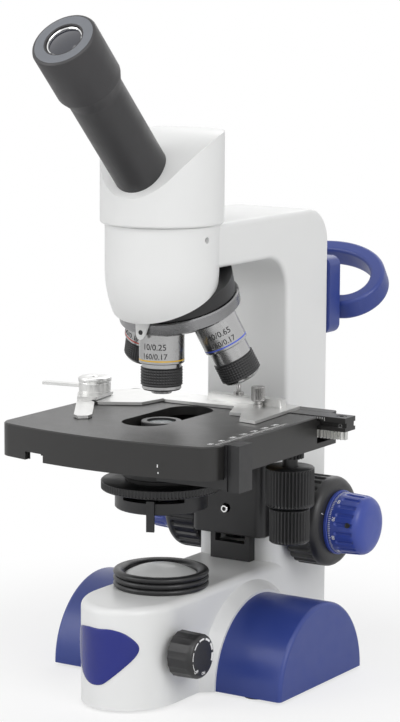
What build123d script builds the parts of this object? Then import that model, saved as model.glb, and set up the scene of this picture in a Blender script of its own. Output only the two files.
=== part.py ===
from build123d import *
import os
from math import asin, atan2, cos, degrees, pi, radians, sin, sqrt, tan

# Monocular microscope on a blue-footed stand, in millimetres, +Z up, front towards -Y.
# Every piece is drawn about the optical axis and moved to the footprint's centre when it is written.

# General fits
running_gap = 0.08      # radial gap of a shaft or slide in its guide
seat_gap = 0.05         # radial gap of a fixed piece in its seat
air_gap = 0.3           # gap between faces that pass each other

# Heights on the optical axis
pad_height = 1.5
base_top = 53.0
stage_top = 139.3
arm_under = 215.0
arm_top = 237.3
head_height = 45.9

# Base
base_half = 25.0
base_nose_y = -24.3
base_nose_length = 30.0
base_wall = 3.0
base_edge = 4.0
cover_thick = 2.0

# Column and arm
column_front = 82.0
column_back = 124.5
column_wall = 5.0
column_edge = 2.5
pillar_front = 72.0
pillar_top = 112.0
pillar_round = 8.0
throat_round = 19.0
crown_round = 19.0

# Nose of the arm
nose_radius = 28.5
nose_shoulder = 215.0
nose_barrel = 60.0
nose_low = 178.0
nose_cut_height = 200.7
nose_cut_tilt = 26.0
light_bore = 12.0
socket_radius = 18.0
socket_depth = 9.5

# Feet
foot_radius = 42.0
foot_y = 44.7
foot_inner = 31.3
foot_outer = 69.0
foot_wall = 3.5
foot_edge = 2.0
pad_radius = 7.0

# Lamp
collector_radius = 24.3
collector_height = 9.4
collector_bore = 18.5
collector_skirt = 20.0
lamp_hole = 15.5

# Dimmer knob on the right side of the base
dimmer_y = -26.5
dimmer_z = 28.0
dimmer_start = base_half + 3.0
dimmer_length = 14.0
dimmer_radius = 11.0
dimmer_shaft = 3.0
dimmer_bush = 4.5

# Focus drive
focus_y = 98.0
focus_z = 73.5
coarse_radius = 24.0
coarse_start = base_half + 3.0
coarse_length = 20.0
fine_radius = 16.2
fine_start = coarse_start + coarse_length + 2.0
fine_length = 18.5
dial_radius = 17.0
coarse_shaft_radius = 4.0
fine_shaft_radius = 2.5
focus_module = 0.8
focus_teeth = 15
focus_travel = 13.0
focus_rise = 0.0

# Stage bracket on its guide
bracket_front = 62.5
bracket_half = 22.3
bracket_low = 67.5
bracket_round = 5.0
guide_front = 66.5
guide_half = 12.0
guide_low = 53.2
tongue_half = 9.0
tongue_low = 76.0
tongue_high = 108.0

# Lower stage plate
lower_thick = 4.8
lower_gap = 0.5
lower_half = 38.0
lower_front = -27.0
lower_back = 66.0

# Upper stage plate
stage_thick = 16.5
stage_left = -61.0
stage_right = 64.0
stage_back = 67.4
stage_front = -62.6
stage_bow = 230.0
stage_corner = 9.0
stage_roof = 4.5
stage_wall = 3.0
slot_half = 12.5
slot_front = -26.0
slot_back = 38.0
channel_front = 45.5
channel_back = 59.8
channel_floor = 125.6

# X bar and specimen holder
bar_front = 47.5
bar_back = 58.0
bar_left = -40.0
bar_right = 79.0
bar_low = 132.6
bar_groove = 1.5
groove_low = 134.5
groove_high = 137.0
plate_lift = 0.3
plate_thick = 1.5
rail_thick = 3.6
clip_x = -62.0
clip_y = 31.0
clip_cap_radius = 8.4
clip_cap_height = 7.0
hub_reach = 17.0

# Coaxial stage knobs
drive_x = 50.5
drive_y = 42.0
y_knob_radius = 12.5
y_knob_low = 92.9
y_knob_high = 113.0
x_knob_radius = 10.3
x_knob_low = 74.0
x_knob_high = 92.0
x_pitch = 5.0
y_pitch = 6.5
stage_teeth = 20

# Vernier block
vernier_width = 8.3
vernier_length = 12.0
vernier_front = -44.0
vernier_low = 116.5

# Condenser
condenser_top = 138.0
condenser_nose = 10.4
tube_radius = 20.0
tube_low = 110.0
barrel_radius = 18.4
ring_radius = 30.5
ring_low = 103.5
ring_high = 108.0
iris_radius = 23.5
iris_low = 94.0
iris_azimuth = -69.5

# Nosepiece
turret_tilt = 19.3
turret_apex = 240.5
objective_circle = 18.0
turret_radius = 31.0
turret_high = 44.5
turret_low = 51.0
thread_radius = 10.16
thread_length = 3.6
pivot_radius = 4.0

# Objectives, lengths from the seat
objective_radius = 10.9
knurl_radius = 10.1

# Head
head_radius = 30.9
head_gap = 0.3
head_top = arm_top + head_gap + head_height
head_bend = 48.0
head_bend_y = 16.7
head_slope = 54.0
head_wall = 4.0
tube_tilt = 45.0
tube_cross = arm_top + head_gap + 8.1
eye_tube_radius = 14.0
eye_tube_bore = 11.65
eye_tube_start = 22.0
eye_tube_end = 82.0
eyepiece_end = 119.0
eyepiece_radius = 16.5
eyepiece_taper = 90.0

# Handle
handle_half = 26.0
handle_thick = 11.0
handle_low = 168.5
handle_high = 210.0
loop_tilt = 35.0
loop_height = 183.8
loop_depth = 12.0
loop_band = 8.2
loop_half = 41.5
loop_waist = 20.0
loop_reach = 31.3
loop_edge = 2.0

# Footprint: the origin is the centre of the box round the resting microscope
lever_reach = 92.0
front_reach = (eyepiece_end + eyepiece_radius - 0.8) * cos(radians(tube_tilt))
loop_lean = radians(loop_tilt)
back_reach = (column_back + handle_thick + 0.5 + (loop_waist + loop_reach) * cos(loop_lean)
              + loop_depth * sin(loop_lean) - loop_edge * (cos(loop_lean) + sin(loop_lean) - 1))
axis_x = (lever_reach - bar_right) / 2
axis_y = (front_reach - back_reach) / 2

os.makedirs("parts", exist_ok=True)


def finish(piece, name):
    """Label a finished piece, move it to the footprint's centre and write it."""
    piece.part.label = name
    export_step(piece.part.moved(Location((axis_x, axis_y, 0))), f"parts/{name}.step")


def axial_plane(origin, direction):
    """Plane whose x is a radius and whose y runs along the given axis from its origin."""
    across = Plane(origin=origin, z_dir=direction).x_dir
    return Plane(origin=origin, x_dir=across, z_dir=across.cross(Vector(*direction)))


def turned(origin, direction, outline):
    """Solid of revolution from a closed outline of (radius, distance) points."""
    with BuildPart(mode=Mode.PRIVATE) as piece:
        with BuildSketch(axial_plane(origin, direction)):
            with BuildLine():
                Polyline(*outline, close=True)
            make_face()
        revolve(axis=Axis(origin, direction))
    return piece


def tube_outline(outer, inner, start, end, edge=0.0):
    """Outline of a tube with its two outer corners cut back by edge."""
    if edge:
        return [(inner, start), (outer - edge, start), (outer, start + edge),
                (outer, end - edge), (outer - edge, end), (inner, end)]
    return [(inner, start), (outer, start), (outer, end), (inner, end)]


def fluted(plane, outer, inner, length, flutes, flute_radius, edge):
    """Knob blank with round flutes along it, bevelled at both ends and bored through."""
    direction = plane.z_dir
    blank = turned(plane.origin, tuple(direction), tube_outline(outer, inner, 0, length, edge))
    with BuildPart(mode=Mode.PRIVATE) as knob:
        with BuildSketch(plane):
            Circle(outer + 1)
            with PolarLocations(outer + flute_radius * 0.45, flutes):
                Circle(flute_radius, mode=Mode.SUBTRACT)
        extrude(amount=length)
        add(blank.part, mode=Mode.INTERSECT)
    return knob


def tooth_outline(module, pitch_radius, teeth, slack=0.12):
    """One gear tooth as points about the +X direction, thinned by slack for backlash."""
    half_pitch = pi / (2 * teeth)
    lean = tan(radians(20))
    root = pitch_radius - 1.1 * module
    tip = pitch_radius + 0.85 * module
    half_mid = pitch_radius * sin(half_pitch) - slack
    half_root = half_mid + 0.9 * module * lean
    half_tip = half_mid - 0.85 * module * lean * 1.25
    return [(root - 0.3, -half_root), (pitch_radius, -half_mid), (tip, -half_tip),
            (tip, half_tip), (pitch_radius, half_mid), (root - 0.3, half_root)]


def pinion(plane, module, teeth, length, bore, turn=0.0):
    """Spur pinion with straight-sided teeth, bored through; turn sets a tooth's angle in degrees."""
    pitch_radius = module * teeth / 2
    with BuildPart(mode=Mode.PRIVATE) as gear:
        with BuildSketch(plane):
            Circle(pitch_radius - 1.1 * module)
            with PolarLocations(0, teeth, start_angle=turn):
                Polygon(*tooth_outline(module, pitch_radius, teeth), align=None)
            Circle(bore, mode=Mode.SUBTRACT)
        extrude(amount=length)
    return gear


def rack(plane, module, first, last, back, thick, phase=0.0, slack=0.12):
    """Rack along the plane's x with its pitch line on x itself and teeth towards +y."""
    pitch = pi * module
    lean = tan(radians(20))
    half = pitch / 4 - slack
    low = -1.1 * module
    high = 0.85 * module
    count = int((last - first) / pitch) + 2
    with BuildPart(mode=Mode.PRIVATE) as bar:
        with BuildSketch(plane):
            with Locations(((first + last) / 2, (low - back) / 2)):
                Rectangle(last - first, back + low)
            middle = phase + pitch * round(((first + last) / 2 - phase) / pitch)
            for step in range(-count // 2, count // 2 + 1):
                centre = middle + step * pitch
                if first + pitch / 2 < centre < last - pitch / 2:
                    Polygon(
                        (centre - half + low * lean, low), (centre - half + high * lean, high),
                        (centre + half - high * lean, high), (centre + half - low * lean, low),
                        align=None,
                    )
        extrude(amount=thick)
    return bar


def base_plan(inset=0.0):
    """Plan of the base inside a sketch: a half-ellipse nose with straight sides running back."""
    with Locations((0, base_nose_y)):
        Ellipse(base_half - inset, base_nose_length - inset)
    with Locations((0, (base_nose_y + column_back - inset) / 2)):
        Rectangle(2 * (base_half - inset), column_back - inset - base_nose_y)


# Stand casting

with BuildPart() as nose:
    barrel_angle = degrees(asin((nose_shoulder - nose_low) / nose_barrel))
    nose_low_radius = nose_radius - nose_barrel * (1 - cos(radians(barrel_angle)))
    with BuildSketch(Plane.XZ):
        with BuildLine():
            CenterArc((nose_radius - nose_barrel, nose_shoulder), nose_barrel, -barrel_angle, barrel_angle)
            Polyline((nose_radius, nose_shoulder), (nose_radius, arm_top), (0, arm_top), (0, nose_low),
                     (nose_low_radius, nose_low))
        make_face()
    revolve(axis=Axis.Z)
    nose_slope = tan(radians(nose_cut_tilt))
    split(bisect_by=Plane(origin=(0, 0, nose_cut_height), z_dir=(0, -nose_slope, 1)), keep=Keep.TOP)

with BuildPart() as arm:
    with BuildSketch(Plane.YZ):
        with BuildLine():
            Polyline((0, arm_top), (0, arm_under), (column_front, arm_under),
                     (column_front, pad_height), (column_back, pad_height), (column_back, arm_top),
                     close=True)
        make_face()
        corners = vertices()
        fillet(corners.sort_by(Axis.X)[-2:].sort_by(Axis.Y)[-1], crown_round)
        fillet(vertices().filter_by_position(Axis.X, column_front - 1, column_front + 1)
               .sort_by(Axis.Y)[-1], throat_round)
    extrude(amount=base_half, both=True)
    long_edges = arm.edges().filter_by(lambda edge: abs(abs(edge.center().X) - base_half) < 0.01)
    fillet(long_edges.filter_by(lambda edge: edge.center().Y > 1 and edge.center().Z > pad_height + 1), column_edge)

with BuildPart() as stand:
    with BuildSketch(Plane.XY.offset(pad_height)):
        base_plan()
    extrude(amount=base_top - pad_height)
    rim = stand.edges().filter_by_position(Axis.Z, base_top - 0.01, base_top + 0.01)
    fillet(rim.filter_by(lambda edge: edge.center().Y < column_back - 1), base_edge)
    with BuildSketch(Plane.XY.offset(pad_height)):
        with Locations((0, (pillar_front + column_front + pillar_round) / 2)):
            Rectangle(2 * base_half, column_front + pillar_round - pillar_front)
        fillet(vertices().sort_by(Axis.Y)[:2], pillar_round)
    extrude(amount=pillar_top + column_front - pillar_front - pad_height)
    with BuildSketch(Plane.YZ):
        Polygon((pillar_front - 1, pillar_top - 1), (pillar_front + 29, pillar_top + 29),
                (pillar_front - 1, pillar_top + 29), align=None)
    extrude(amount=base_half, both=True, mode=Mode.SUBTRACT)
    add(arm.part)
    add(nose.part)
    # Rounded shoulders that meet the blue feet
    for side in (-1, 1):
        start = base_half - 1
        reach = foot_inner - start
        add(turned((side * start, foot_y, pad_height), (side, 0, 0),
                   [(0, 0), (foot_radius + 6.5, 0), (foot_radius + 1.4, reach), (0, reach)]).part)
    split(bisect_by=Plane.XY.offset(pad_height), keep=Keep.TOP)
    # Hollow base, column and light path
    with BuildSketch(Plane.XY.offset(pad_height)):
        base_plan(base_wall)
    extrude(amount=base_top - base_wall - pad_height, mode=Mode.SUBTRACT)
    with BuildSketch(Plane.XY.offset(pad_height)):
        cavity_length = column_back - column_wall - (pillar_front + column_wall)
        with Locations((0, pillar_front + column_wall + cavity_length / 2)):
            Rectangle(2 * (base_half - column_wall), cavity_length)
    extrude(amount=pillar_top - 2 - pad_height, mode=Mode.SUBTRACT)
    with BuildSketch(Plane.XY.offset(pillar_top - 2)):
        upper_length = column_back - column_front - 2 * column_wall
        with Locations((0, column_front + column_wall + upper_length / 2)):
            Rectangle(2 * (base_half - column_wall), upper_length)
    extrude(amount=arm_under - pillar_top - 8, mode=Mode.SUBTRACT)
    with BuildSketch(Plane.XY.offset(nose_low)):
        Circle(light_bore)
    extrude(amount=arm_top - nose_low, mode=Mode.SUBTRACT)
    with BuildSketch(Plane.XY.offset(arm_top)):
        Circle(socket_radius + running_gap)
    extrude(amount=-socket_depth, mode=Mode.SUBTRACT)
    with BuildSketch(Plane.XY.offset(base_top)):
        Circle(collector_skirt + seat_gap)
    extrude(amount=-base_wall - 1, mode=Mode.SUBTRACT)
    # Slot for the bracket's tongue, shaft bushes, dimmer, inlet, lock screw and handle screws
    with BuildSketch(Plane.XZ.offset(-pillar_front)):
        slot_low = tongue_low - focus_travel - 0.5
        slot_high = tongue_high + focus_rise + 0.6
        with Locations((0, (slot_low + slot_high) / 2)):
            Rectangle(2 * (tongue_half + running_gap), slot_high - slot_low)
    extrude(amount=-column_wall - 1, mode=Mode.SUBTRACT)
    with BuildSketch(Plane.YZ):
        with Locations((focus_y, focus_z)):
            Circle(8.0)
    extrude(amount=base_half + 1, both=True, mode=Mode.SUBTRACT)
    with BuildSketch(Plane.YZ.offset(base_half - 6)):
        with Locations((dimmer_y, dimmer_z)):
            Circle(dimmer_bush + seat_gap)
    extrude(amount=10, mode=Mode.SUBTRACT)
    with BuildSketch(Plane.XZ.offset(-column_back - 1)):
        with Locations((0, 20)):
            Circle(6.0)
    extrude(amount=column_wall + 2, mode=Mode.SUBTRACT)
    with BuildSketch(Plane.YZ.offset(socket_radius - 1)):
        with Locations((-3, arm_top - 6.5)):
            Circle(1.6)
    extrude(amount=nose_radius, mode=Mode.SUBTRACT)
finish(stand, "stand")


def block(x0, x1, y0, y1, z0, z1):
    """Plain box between two corners."""
    with BuildPart(mode=Mode.PRIVATE) as piece:
        with BuildSketch(Plane.XY.offset(z0)):
            with Locations(((x0 + x1) / 2, (y0 + y1) / 2)):
                Rectangle(x1 - x0, y1 - y0)
        extrude(amount=z1 - z0)
    return piece


# Bottom cover and pads

with BuildPart() as cover:
    with BuildSketch(Plane.XY.offset(pad_height)):
        base_plan(base_wall + 0.1)
    extrude(amount=cover_thick)
finish(cover, "bottom_cover")

pad_spots = [(-50, 12), (50, 12), (-50, 77), (50, 77), (0, -40), (-14, 112), (14, 112)]
with BuildPart() as pads:
    with BuildSketch():
        with Locations(*pad_spots):
            Circle(pad_radius)
    extrude(amount=pad_height)
    chamfer(pads.edges().filter_by_position(Axis.Z, -0.01, 0.01), 0.4)
finish(pads, "rubber_pads")

# Blue feet, each half a disc standing on its cut side


def half_disc(radius):
    """Half disc about the feet's centre, cut flat at the level of the pads."""
    with Locations((foot_y, pad_height)):
        Circle(radius)
    with Locations((foot_y, pad_height - foot_radius)):
        Rectangle(2.2 * foot_radius, 2 * foot_radius, mode=Mode.SUBTRACT)


with BuildPart() as feet:
    for side in (-1, 1):
        with BuildPart(mode=Mode.PRIVATE) as foot:
            with BuildSketch(Plane.YZ.offset(side * foot_inner)):
                half_disc(foot_radius)
            extrude(amount=side * (foot_outer - foot_inner))
            rim_x = side * foot_outer
            outer_rim = foot.edges().filter_by_position(Axis.X, rim_x - 0.01, rim_x + 0.01)
            fillet(outer_rim.filter_by(lambda edge: edge.center().Z > pad_height + 1), foot_edge)
            with BuildSketch(Plane.YZ.offset(side * (foot_inner + foot_wall))):
                half_disc(foot_radius - foot_wall)
            extrude(amount=side * (foot_outer - foot_inner - 2 * foot_wall), mode=Mode.SUBTRACT)
            with BuildSketch(Plane.XY.offset(pad_height)):
                with Locations((side * 50, 12), (side * 50, 77)):
                    Circle(pad_radius + 0.5)
            extrude(until=Until.NEXT)
        add(foot.part)
finish(feet, "feet")

# Bare shield plate let onto the front of the base

with BuildPart() as badge:
    with BuildSketch(Plane.XY.offset(8)):
        base_plan(-0.8)
    extrude(amount=40)
    with BuildSketch(Plane.XY.offset(8)):
        base_plan(-0.02)
    extrude(amount=40, mode=Mode.SUBTRACT)
    with BuildSketch(Plane.XZ.offset(30)):
        with BuildLine():
            Spline((-12.2, 41.6), (8.5, 38.9), (18.3, 32.6), (11.2, 21.6), (-0.6, 13.6), (-12.4, 24.2),
                   (-16.2, 36.8), periodic=True)
        make_face()
    extrude(amount=40, mode=Mode.INTERSECT)
finish(badge, "badge_plate")

# Lamp collector over the lens hole

ring_top = base_top + collector_height
with BuildPart() as collector:
    with BuildSketch(Plane.XZ):
        with BuildLine():
            Polyline(
                (lamp_hole, base_top - 6), (collector_skirt, base_top - 6), (collector_skirt, base_top),
                (collector_radius, base_top), (collector_radius, base_top + 2.6),
                (collector_radius - 0.9, base_top + 2.6), (collector_radius - 0.9, base_top + 3.4),
                (collector_radius, base_top + 3.4), (collector_radius, base_top + 5.4),
                (collector_radius - 0.9, base_top + 5.4), (collector_radius - 0.9, base_top + 6.2),
                (collector_radius, base_top + 6.2), (collector_radius, ring_top - 0.8),
                (collector_radius - 0.8, ring_top), (collector_bore + 0.6, ring_top),
                (collector_bore, ring_top - 0.6), (collector_bore, base_top + 5),
                (lamp_hole, base_top + 5), close=True,
            )
        make_face()
    revolve(axis=Axis.Z)
finish(collector, "collector_ring")

with BuildPart() as lens:
    lens_edge = collector_bore - seat_gap
    lens_foot = base_top + 5
    dome_radius = (lens_edge ** 2 + 16) / 8
    dome_half = asin(lens_edge / dome_radius) / 2
    dome_mid = (dome_radius * sin(dome_half), lens_foot + 7 - dome_radius * (1 - cos(dome_half)))
    with BuildSketch(Plane.XZ):
        with BuildLine():
            Polyline((0, lens_foot + 7), (0, lens_foot), (lens_edge, lens_foot), (lens_edge, lens_foot + 3))
            ThreePointArc((lens_edge, lens_foot + 3), dome_mid, (0, lens_foot + 7))
        make_face()
    revolve(axis=Axis.Z)
finish(lens, "collector_lens")

with BuildPart() as lamp:
    with BuildSketch(Plane.XY.offset(base_top - 6)):
        Circle(lamp_hole - seat_gap)
    extrude(amount=1.6)
    with BuildSketch(Plane.XY.offset(base_top - 4.4)):
        RectangleRounded(7, 7, 0.8)
    extrude(amount=1.4)
finish(lamp, "lamp_board")

with BuildPart() as inlet:
    add(turned((0, column_back + 1.5, 20), (0, -1, 0),
               [(2.85, 0), (7.6, 0), (8, 0.4), (8, 1.5), (5.95, 1.5), (5.95, 13.5), (0, 13.5), (0, 10.5),
                (2.85, 10.5)]).part)
    add(turned((0, column_back - 9.5, 20), (0, 1, 0),
               [(0, 0), (1.05, 0), (1.05, 9.2), (0.7, 9.7), (0, 9.7)]).part)
finish(inlet, "power_inlet")

# Dimmer

dimmer_axis = (1, 0, 0)
dimmer_case = turned((base_half - base_wall - 11, dimmer_y, dimmer_z), dimmer_axis,
                     [(dimmer_shaft + running_gap, 0), (8, 0), (8, 9), (dimmer_bush, 9),
                      (dimmer_bush, 15.2), (dimmer_shaft + running_gap, 15.2)])
finish(dimmer_case, "dimmer_case")
dimmer_rib_plane = Plane(origin=(dimmer_start, dimmer_y, dimmer_z), x_dir=(0, 1, 0), z_dir=(1, 0, 0))
with BuildPart() as dimmer_knob:
    add(turned((dimmer_start, dimmer_y, dimmer_z), dimmer_axis,
               [(0, -14), (dimmer_shaft, -14), (dimmer_shaft, -1.2), (7, -1.2), (7, 0), (dimmer_radius - 0.7, 0),
                (dimmer_radius, 0.7), (dimmer_radius, 11.5), (dimmer_radius - 2.2, 13.5),
                (0, dimmer_length)]).part)
    with BuildSketch(dimmer_rib_plane.offset(1.6)):
        with PolarLocations(dimmer_radius + 0.45, 18):
            Circle(0.95)
    extrude(amount=9.2, mode=Mode.SUBTRACT)
finish(dimmer_knob, "dimmer_knob")

# Focus guide, bracket, tongue and rack

guide_high = stage_top - stage_thick - focus_travel - air_gap
with BuildPart() as guide:
    with BuildSketch(Plane.XZ.offset(-pillar_front)):
        with Locations((0, (guide_low + guide_high) / 2)):
            Rectangle(2 * guide_half, guide_high - guide_low)
        with Locations((0, (slot_low + slot_high) / 2)):
            Rectangle(2 * (tongue_half + running_gap), slot_high - slot_low, mode=Mode.SUBTRACT)
    extrude(amount=pillar_front - guide_front)
finish(guide, "focus_guide")

bracket_top = stage_top - stage_thick - lower_gap - lower_thick
rebate_front = guide_front - air_gap
with BuildPart() as bracket:
    with BuildSketch(Plane.XY.offset(bracket_low)):
        bracket_depth = pillar_front - air_gap - bracket_front
        with Locations((0, bracket_front + bracket_depth / 2)):
            Rectangle(2 * bracket_half, bracket_depth)
        fillet(vertices().sort_by(Axis.Y)[:2], bracket_round)
        with Locations((0, rebate_front + 5)):
            Rectangle(2 * (guide_half + air_gap), 10, mode=Mode.SUBTRACT)
    extrude(amount=bracket_top - bracket_low)
    chamfer(bracket.edges().filter_by_position(Axis.Z, bracket_low - 0.01, bracket_low + 0.01)
            .filter_by(lambda edge: edge.center().Y < bracket_front + 0.5), 0.8)
    with BuildSketch(Plane.XZ.offset(-bracket_front)):
        with Locations((0, 81.9), (0, 103)):
            Circle(1.6)
    extrude(amount=-10, mode=Mode.SUBTRACT)
    with BuildSketch(Plane.XZ.offset(-bracket_front)):
        with Locations((0, 81.9)):
            Circle(2.6)
        with Locations((0, 103)):
            Circle(1.6)
    extrude(amount=-1.8, mode=Mode.SUBTRACT)
finish(bracket, "stage_bracket")

rack_line = focus_y - focus_module * focus_teeth / 2
rack_back = 5.5
with BuildPart() as tongue:
    with BuildSketch(Plane.XY.offset(tongue_low)):
        with Locations((0, (rebate_front + rack_line - rack_back) / 2)):
            Rectangle(2 * tongue_half, rack_line - rack_back - rebate_front)
    extrude(amount=tongue_high - tongue_low)
    with BuildSketch(Plane.XZ.offset(-rebate_front)):
        with Locations((0, 81.9), (0, 103)):
            Circle(1.6)
    extrude(amount=-8, mode=Mode.SUBTRACT)
finish(tongue, "focus_tongue")

focus_pitch = pi * focus_module
focus_rack = rack(Plane(origin=(5, rack_line, 0), x_dir=(0, 0, 1), z_dir=(-1, 0, 0)), focus_module,
                  66, 94, rack_back, 10, phase=focus_z + focus_pitch / 2)
finish(focus_rack, "focus_rack")

focus_side = Plane(origin=(0, focus_y, focus_z), x_dir=(0, 1, 0), z_dir=(1, 0, 0))
with BuildPart() as bushes:
    for side in (-1, 1):
        add(turned((side * (base_half - column_wall), focus_y, focus_z), (side, 0, 0),
                   [(coarse_shaft_radius + running_gap, 0), (8 - seat_gap, 0), (8 - seat_gap, column_wall),
                    (9.6, column_wall), (9.6, column_wall + 1.2), (9.2, column_wall + 1.6),
                    (coarse_shaft_radius + running_gap, column_wall + 1.6)]).part)
finish(bushes, "focus_bushes")

coarse_end = coarse_start + coarse_length
with BuildPart() as coarse_tube:
    add(turned((-coarse_end + 2, focus_y, focus_z), (1, 0, 0),
               tube_outline(coarse_shaft_radius, fine_shaft_radius + running_gap, 0, 2 * coarse_end - 4)).part)
    add(pinion(focus_side.offset(-5), focus_module, focus_teeth, 10, coarse_shaft_radius - 0.5, turn=180).part)
finish(coarse_tube, "coarse_shaft")

coarse_outline = [
    (coarse_shaft_radius + seat_gap, 0), (9, 0), (9, 9), (coarse_radius - 4, 9), (coarse_radius - 4, 0),
    (coarse_radius - 0.8, 0), (coarse_radius, 0.8), (coarse_radius, coarse_length - 3.2),
    (coarse_radius - 0.9, coarse_length - 1.1), (coarse_radius - 3, coarse_length),
    (coarse_shaft_radius + seat_gap, coarse_length),
]
with BuildPart() as coarse:
    for side in (-1, 1):
        add(turned((side * coarse_start, focus_y, focus_z), (side, 0, 0), coarse_outline).part)
        with BuildSketch(Plane(origin=(side * (coarse_start + 2), focus_y, focus_z),
                               x_dir=(0, 1, 0), z_dir=(side, 0, 0))):
            with PolarLocations(coarse_radius + 0.5, 40):
                Circle(1.0)
        extrude(amount=12.5, mode=Mode.SUBTRACT)
finish(coarse, "coarse_knobs")

with BuildPart() as dials:
    for side in (-1, 1):
        add(turned((side * coarse_end, focus_y, focus_z), (side, 0, 0),
                   tube_outline(dial_radius, fine_shaft_radius + 0.4, 0, 2, 0.3)).part)
finish(dials, "dial_collars")

fine_rod = turned((-fine_start - 14, focus_y, focus_z), (1, 0, 0),
                  [(0, 0), (fine_shaft_radius, 0), (fine_shaft_radius, 2 * fine_start + 28),
                   (0, 2 * fine_start + 28)])
finish(fine_rod, "fine_shaft")
fine_outline = [
    (fine_shaft_radius + seat_gap, 0.3), (fine_radius - 0.6, 0.3), (fine_radius, 0.9),
    (fine_radius, fine_length - 3.4), (fine_radius - 0.5, fine_length - 2.2), (fine_radius - 2, fine_length - 1),
    (fine_radius - 5, fine_length - 0.3), (0, fine_length), (0, 14.5),
    (fine_shaft_radius + seat_gap, 14.5),
]
with BuildPart() as fine:
    for side in (-1, 1):
        add(turned((side * fine_start, focus_y, focus_z), (side, 0, 0), fine_outline).part)
        with BuildSketch(Plane(origin=(side * (fine_start + 1.8), focus_y, focus_z),
                               x_dir=(0, 1, 0), z_dir=(side, 0, 0))):
            with PolarLocations(fine_radius + 0.5, 28):
                Circle(1.05)
        extrude(amount=13.2, mode=Mode.SUBTRACT)
finish(fine, "fine_knobs")

# Lower stage plate, condenser collar and vernier block

lower_low = bracket_top
lower_high = lower_low + lower_thick
rail_front = -24.0
rail_back = 15.5
roof_low = stage_top - stage_roof
with BuildPart() as lower:
    with BuildSketch(Plane.XY.offset(lower_low)):
        with Locations((0, (lower_front + lower_back) / 2)):
            RectangleRounded(2 * lower_half, lower_back - lower_front, 4)
        with Locations(((26 + stage_right + air_gap) / 2, vernier_front + 4)):
            Rectangle(stage_right + air_gap - 26, 8)
        with Locations((32, (vernier_front - 20) / 2)):
            Rectangle(12, -20 - vernier_front)
        Circle(tube_radius + seat_gap, mode=Mode.SUBTRACT)
        with Locations((-14, 63), (14, 63)):
            Circle(1.7, mode=Mode.SUBTRACT)
    extrude(amount=lower_thick)
    with BuildSketch(Plane.XY.offset(lower_high)):
        Circle(tube_radius + 4 + seat_gap)
    extrude(amount=-2.8, mode=Mode.SUBTRACT)
    with BuildSketch(Plane.XY.offset(lower_high - 0.2)):
        with Locations((-35, (rail_front + rail_back) / 2), (35, (rail_front + rail_back) / 2)):
            Rectangle(4, rail_back - rail_front)
    extrude(amount=roof_low - running_gap - lower_high + 0.2)
finish(lower, "lower_plate")

collar = turned((0, 0, 0), (0, 0, 1),
                [(barrel_radius + running_gap, tube_low), (tube_radius - 0.5, tube_low),
                 (tube_radius, tube_low + 0.5), (tube_radius, lower_high - 2.8),
                 (tube_radius + 4, lower_high - 2.8), (tube_radius + 4, lower_high),
                 (barrel_radius + running_gap, lower_high)])
finish(collar, "condenser_collar")

y_module = 2 * y_pitch / stage_teeth
y_line = drive_x - y_pitch
y_rack = rack(Plane(origin=(y_line, 0, lower_high), x_dir=(0, 1, 0), z_dir=(0, 0, -1)), y_module,
              10, 52, y_line - lower_half, lower_thick, phase=drive_y + pi * y_module / 2)
finish(y_rack, "y_rack")

vernier_left = stage_right + air_gap
vernier = block(vernier_left, vernier_left + vernier_width, vernier_front, vernier_front + vernier_length,
                vernier_low, stage_top)
with BuildPart() as vernier_block:
    add(vernier.part)
    with BuildSketch(Plane.XY.offset(vernier_low)):
        with Locations((vernier_left + 2.6, vernier_front)):
            Rectangle(2.2, 1.6)
    extrude(amount=stage_top - vernier_low, mode=Mode.SUBTRACT)
finish(vernier_block, "vernier_block")

# Upper stage plate

stage_low = stage_top - stage_thick
stage_mid = (stage_left + stage_right) / 2


def stage_outline(inset, back):
    """Plan of the stage plate: straight sides and back, with a bowed front."""
    left = stage_left + inset
    right = stage_right - inset
    sweep = asin((right - stage_mid) / (stage_bow - inset))
    corner_y = stage_front + stage_bow - (stage_bow - inset) * cos(sweep)
    with BuildLine() as line:
        Line((left, back), (right, back))
        Line((right, back), (right, corner_y))
        ThreePointArc((right, corner_y), (stage_mid, stage_front + inset), (left, corner_y))
        Line((left, corner_y), (left, back))
    return line.line


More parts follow.
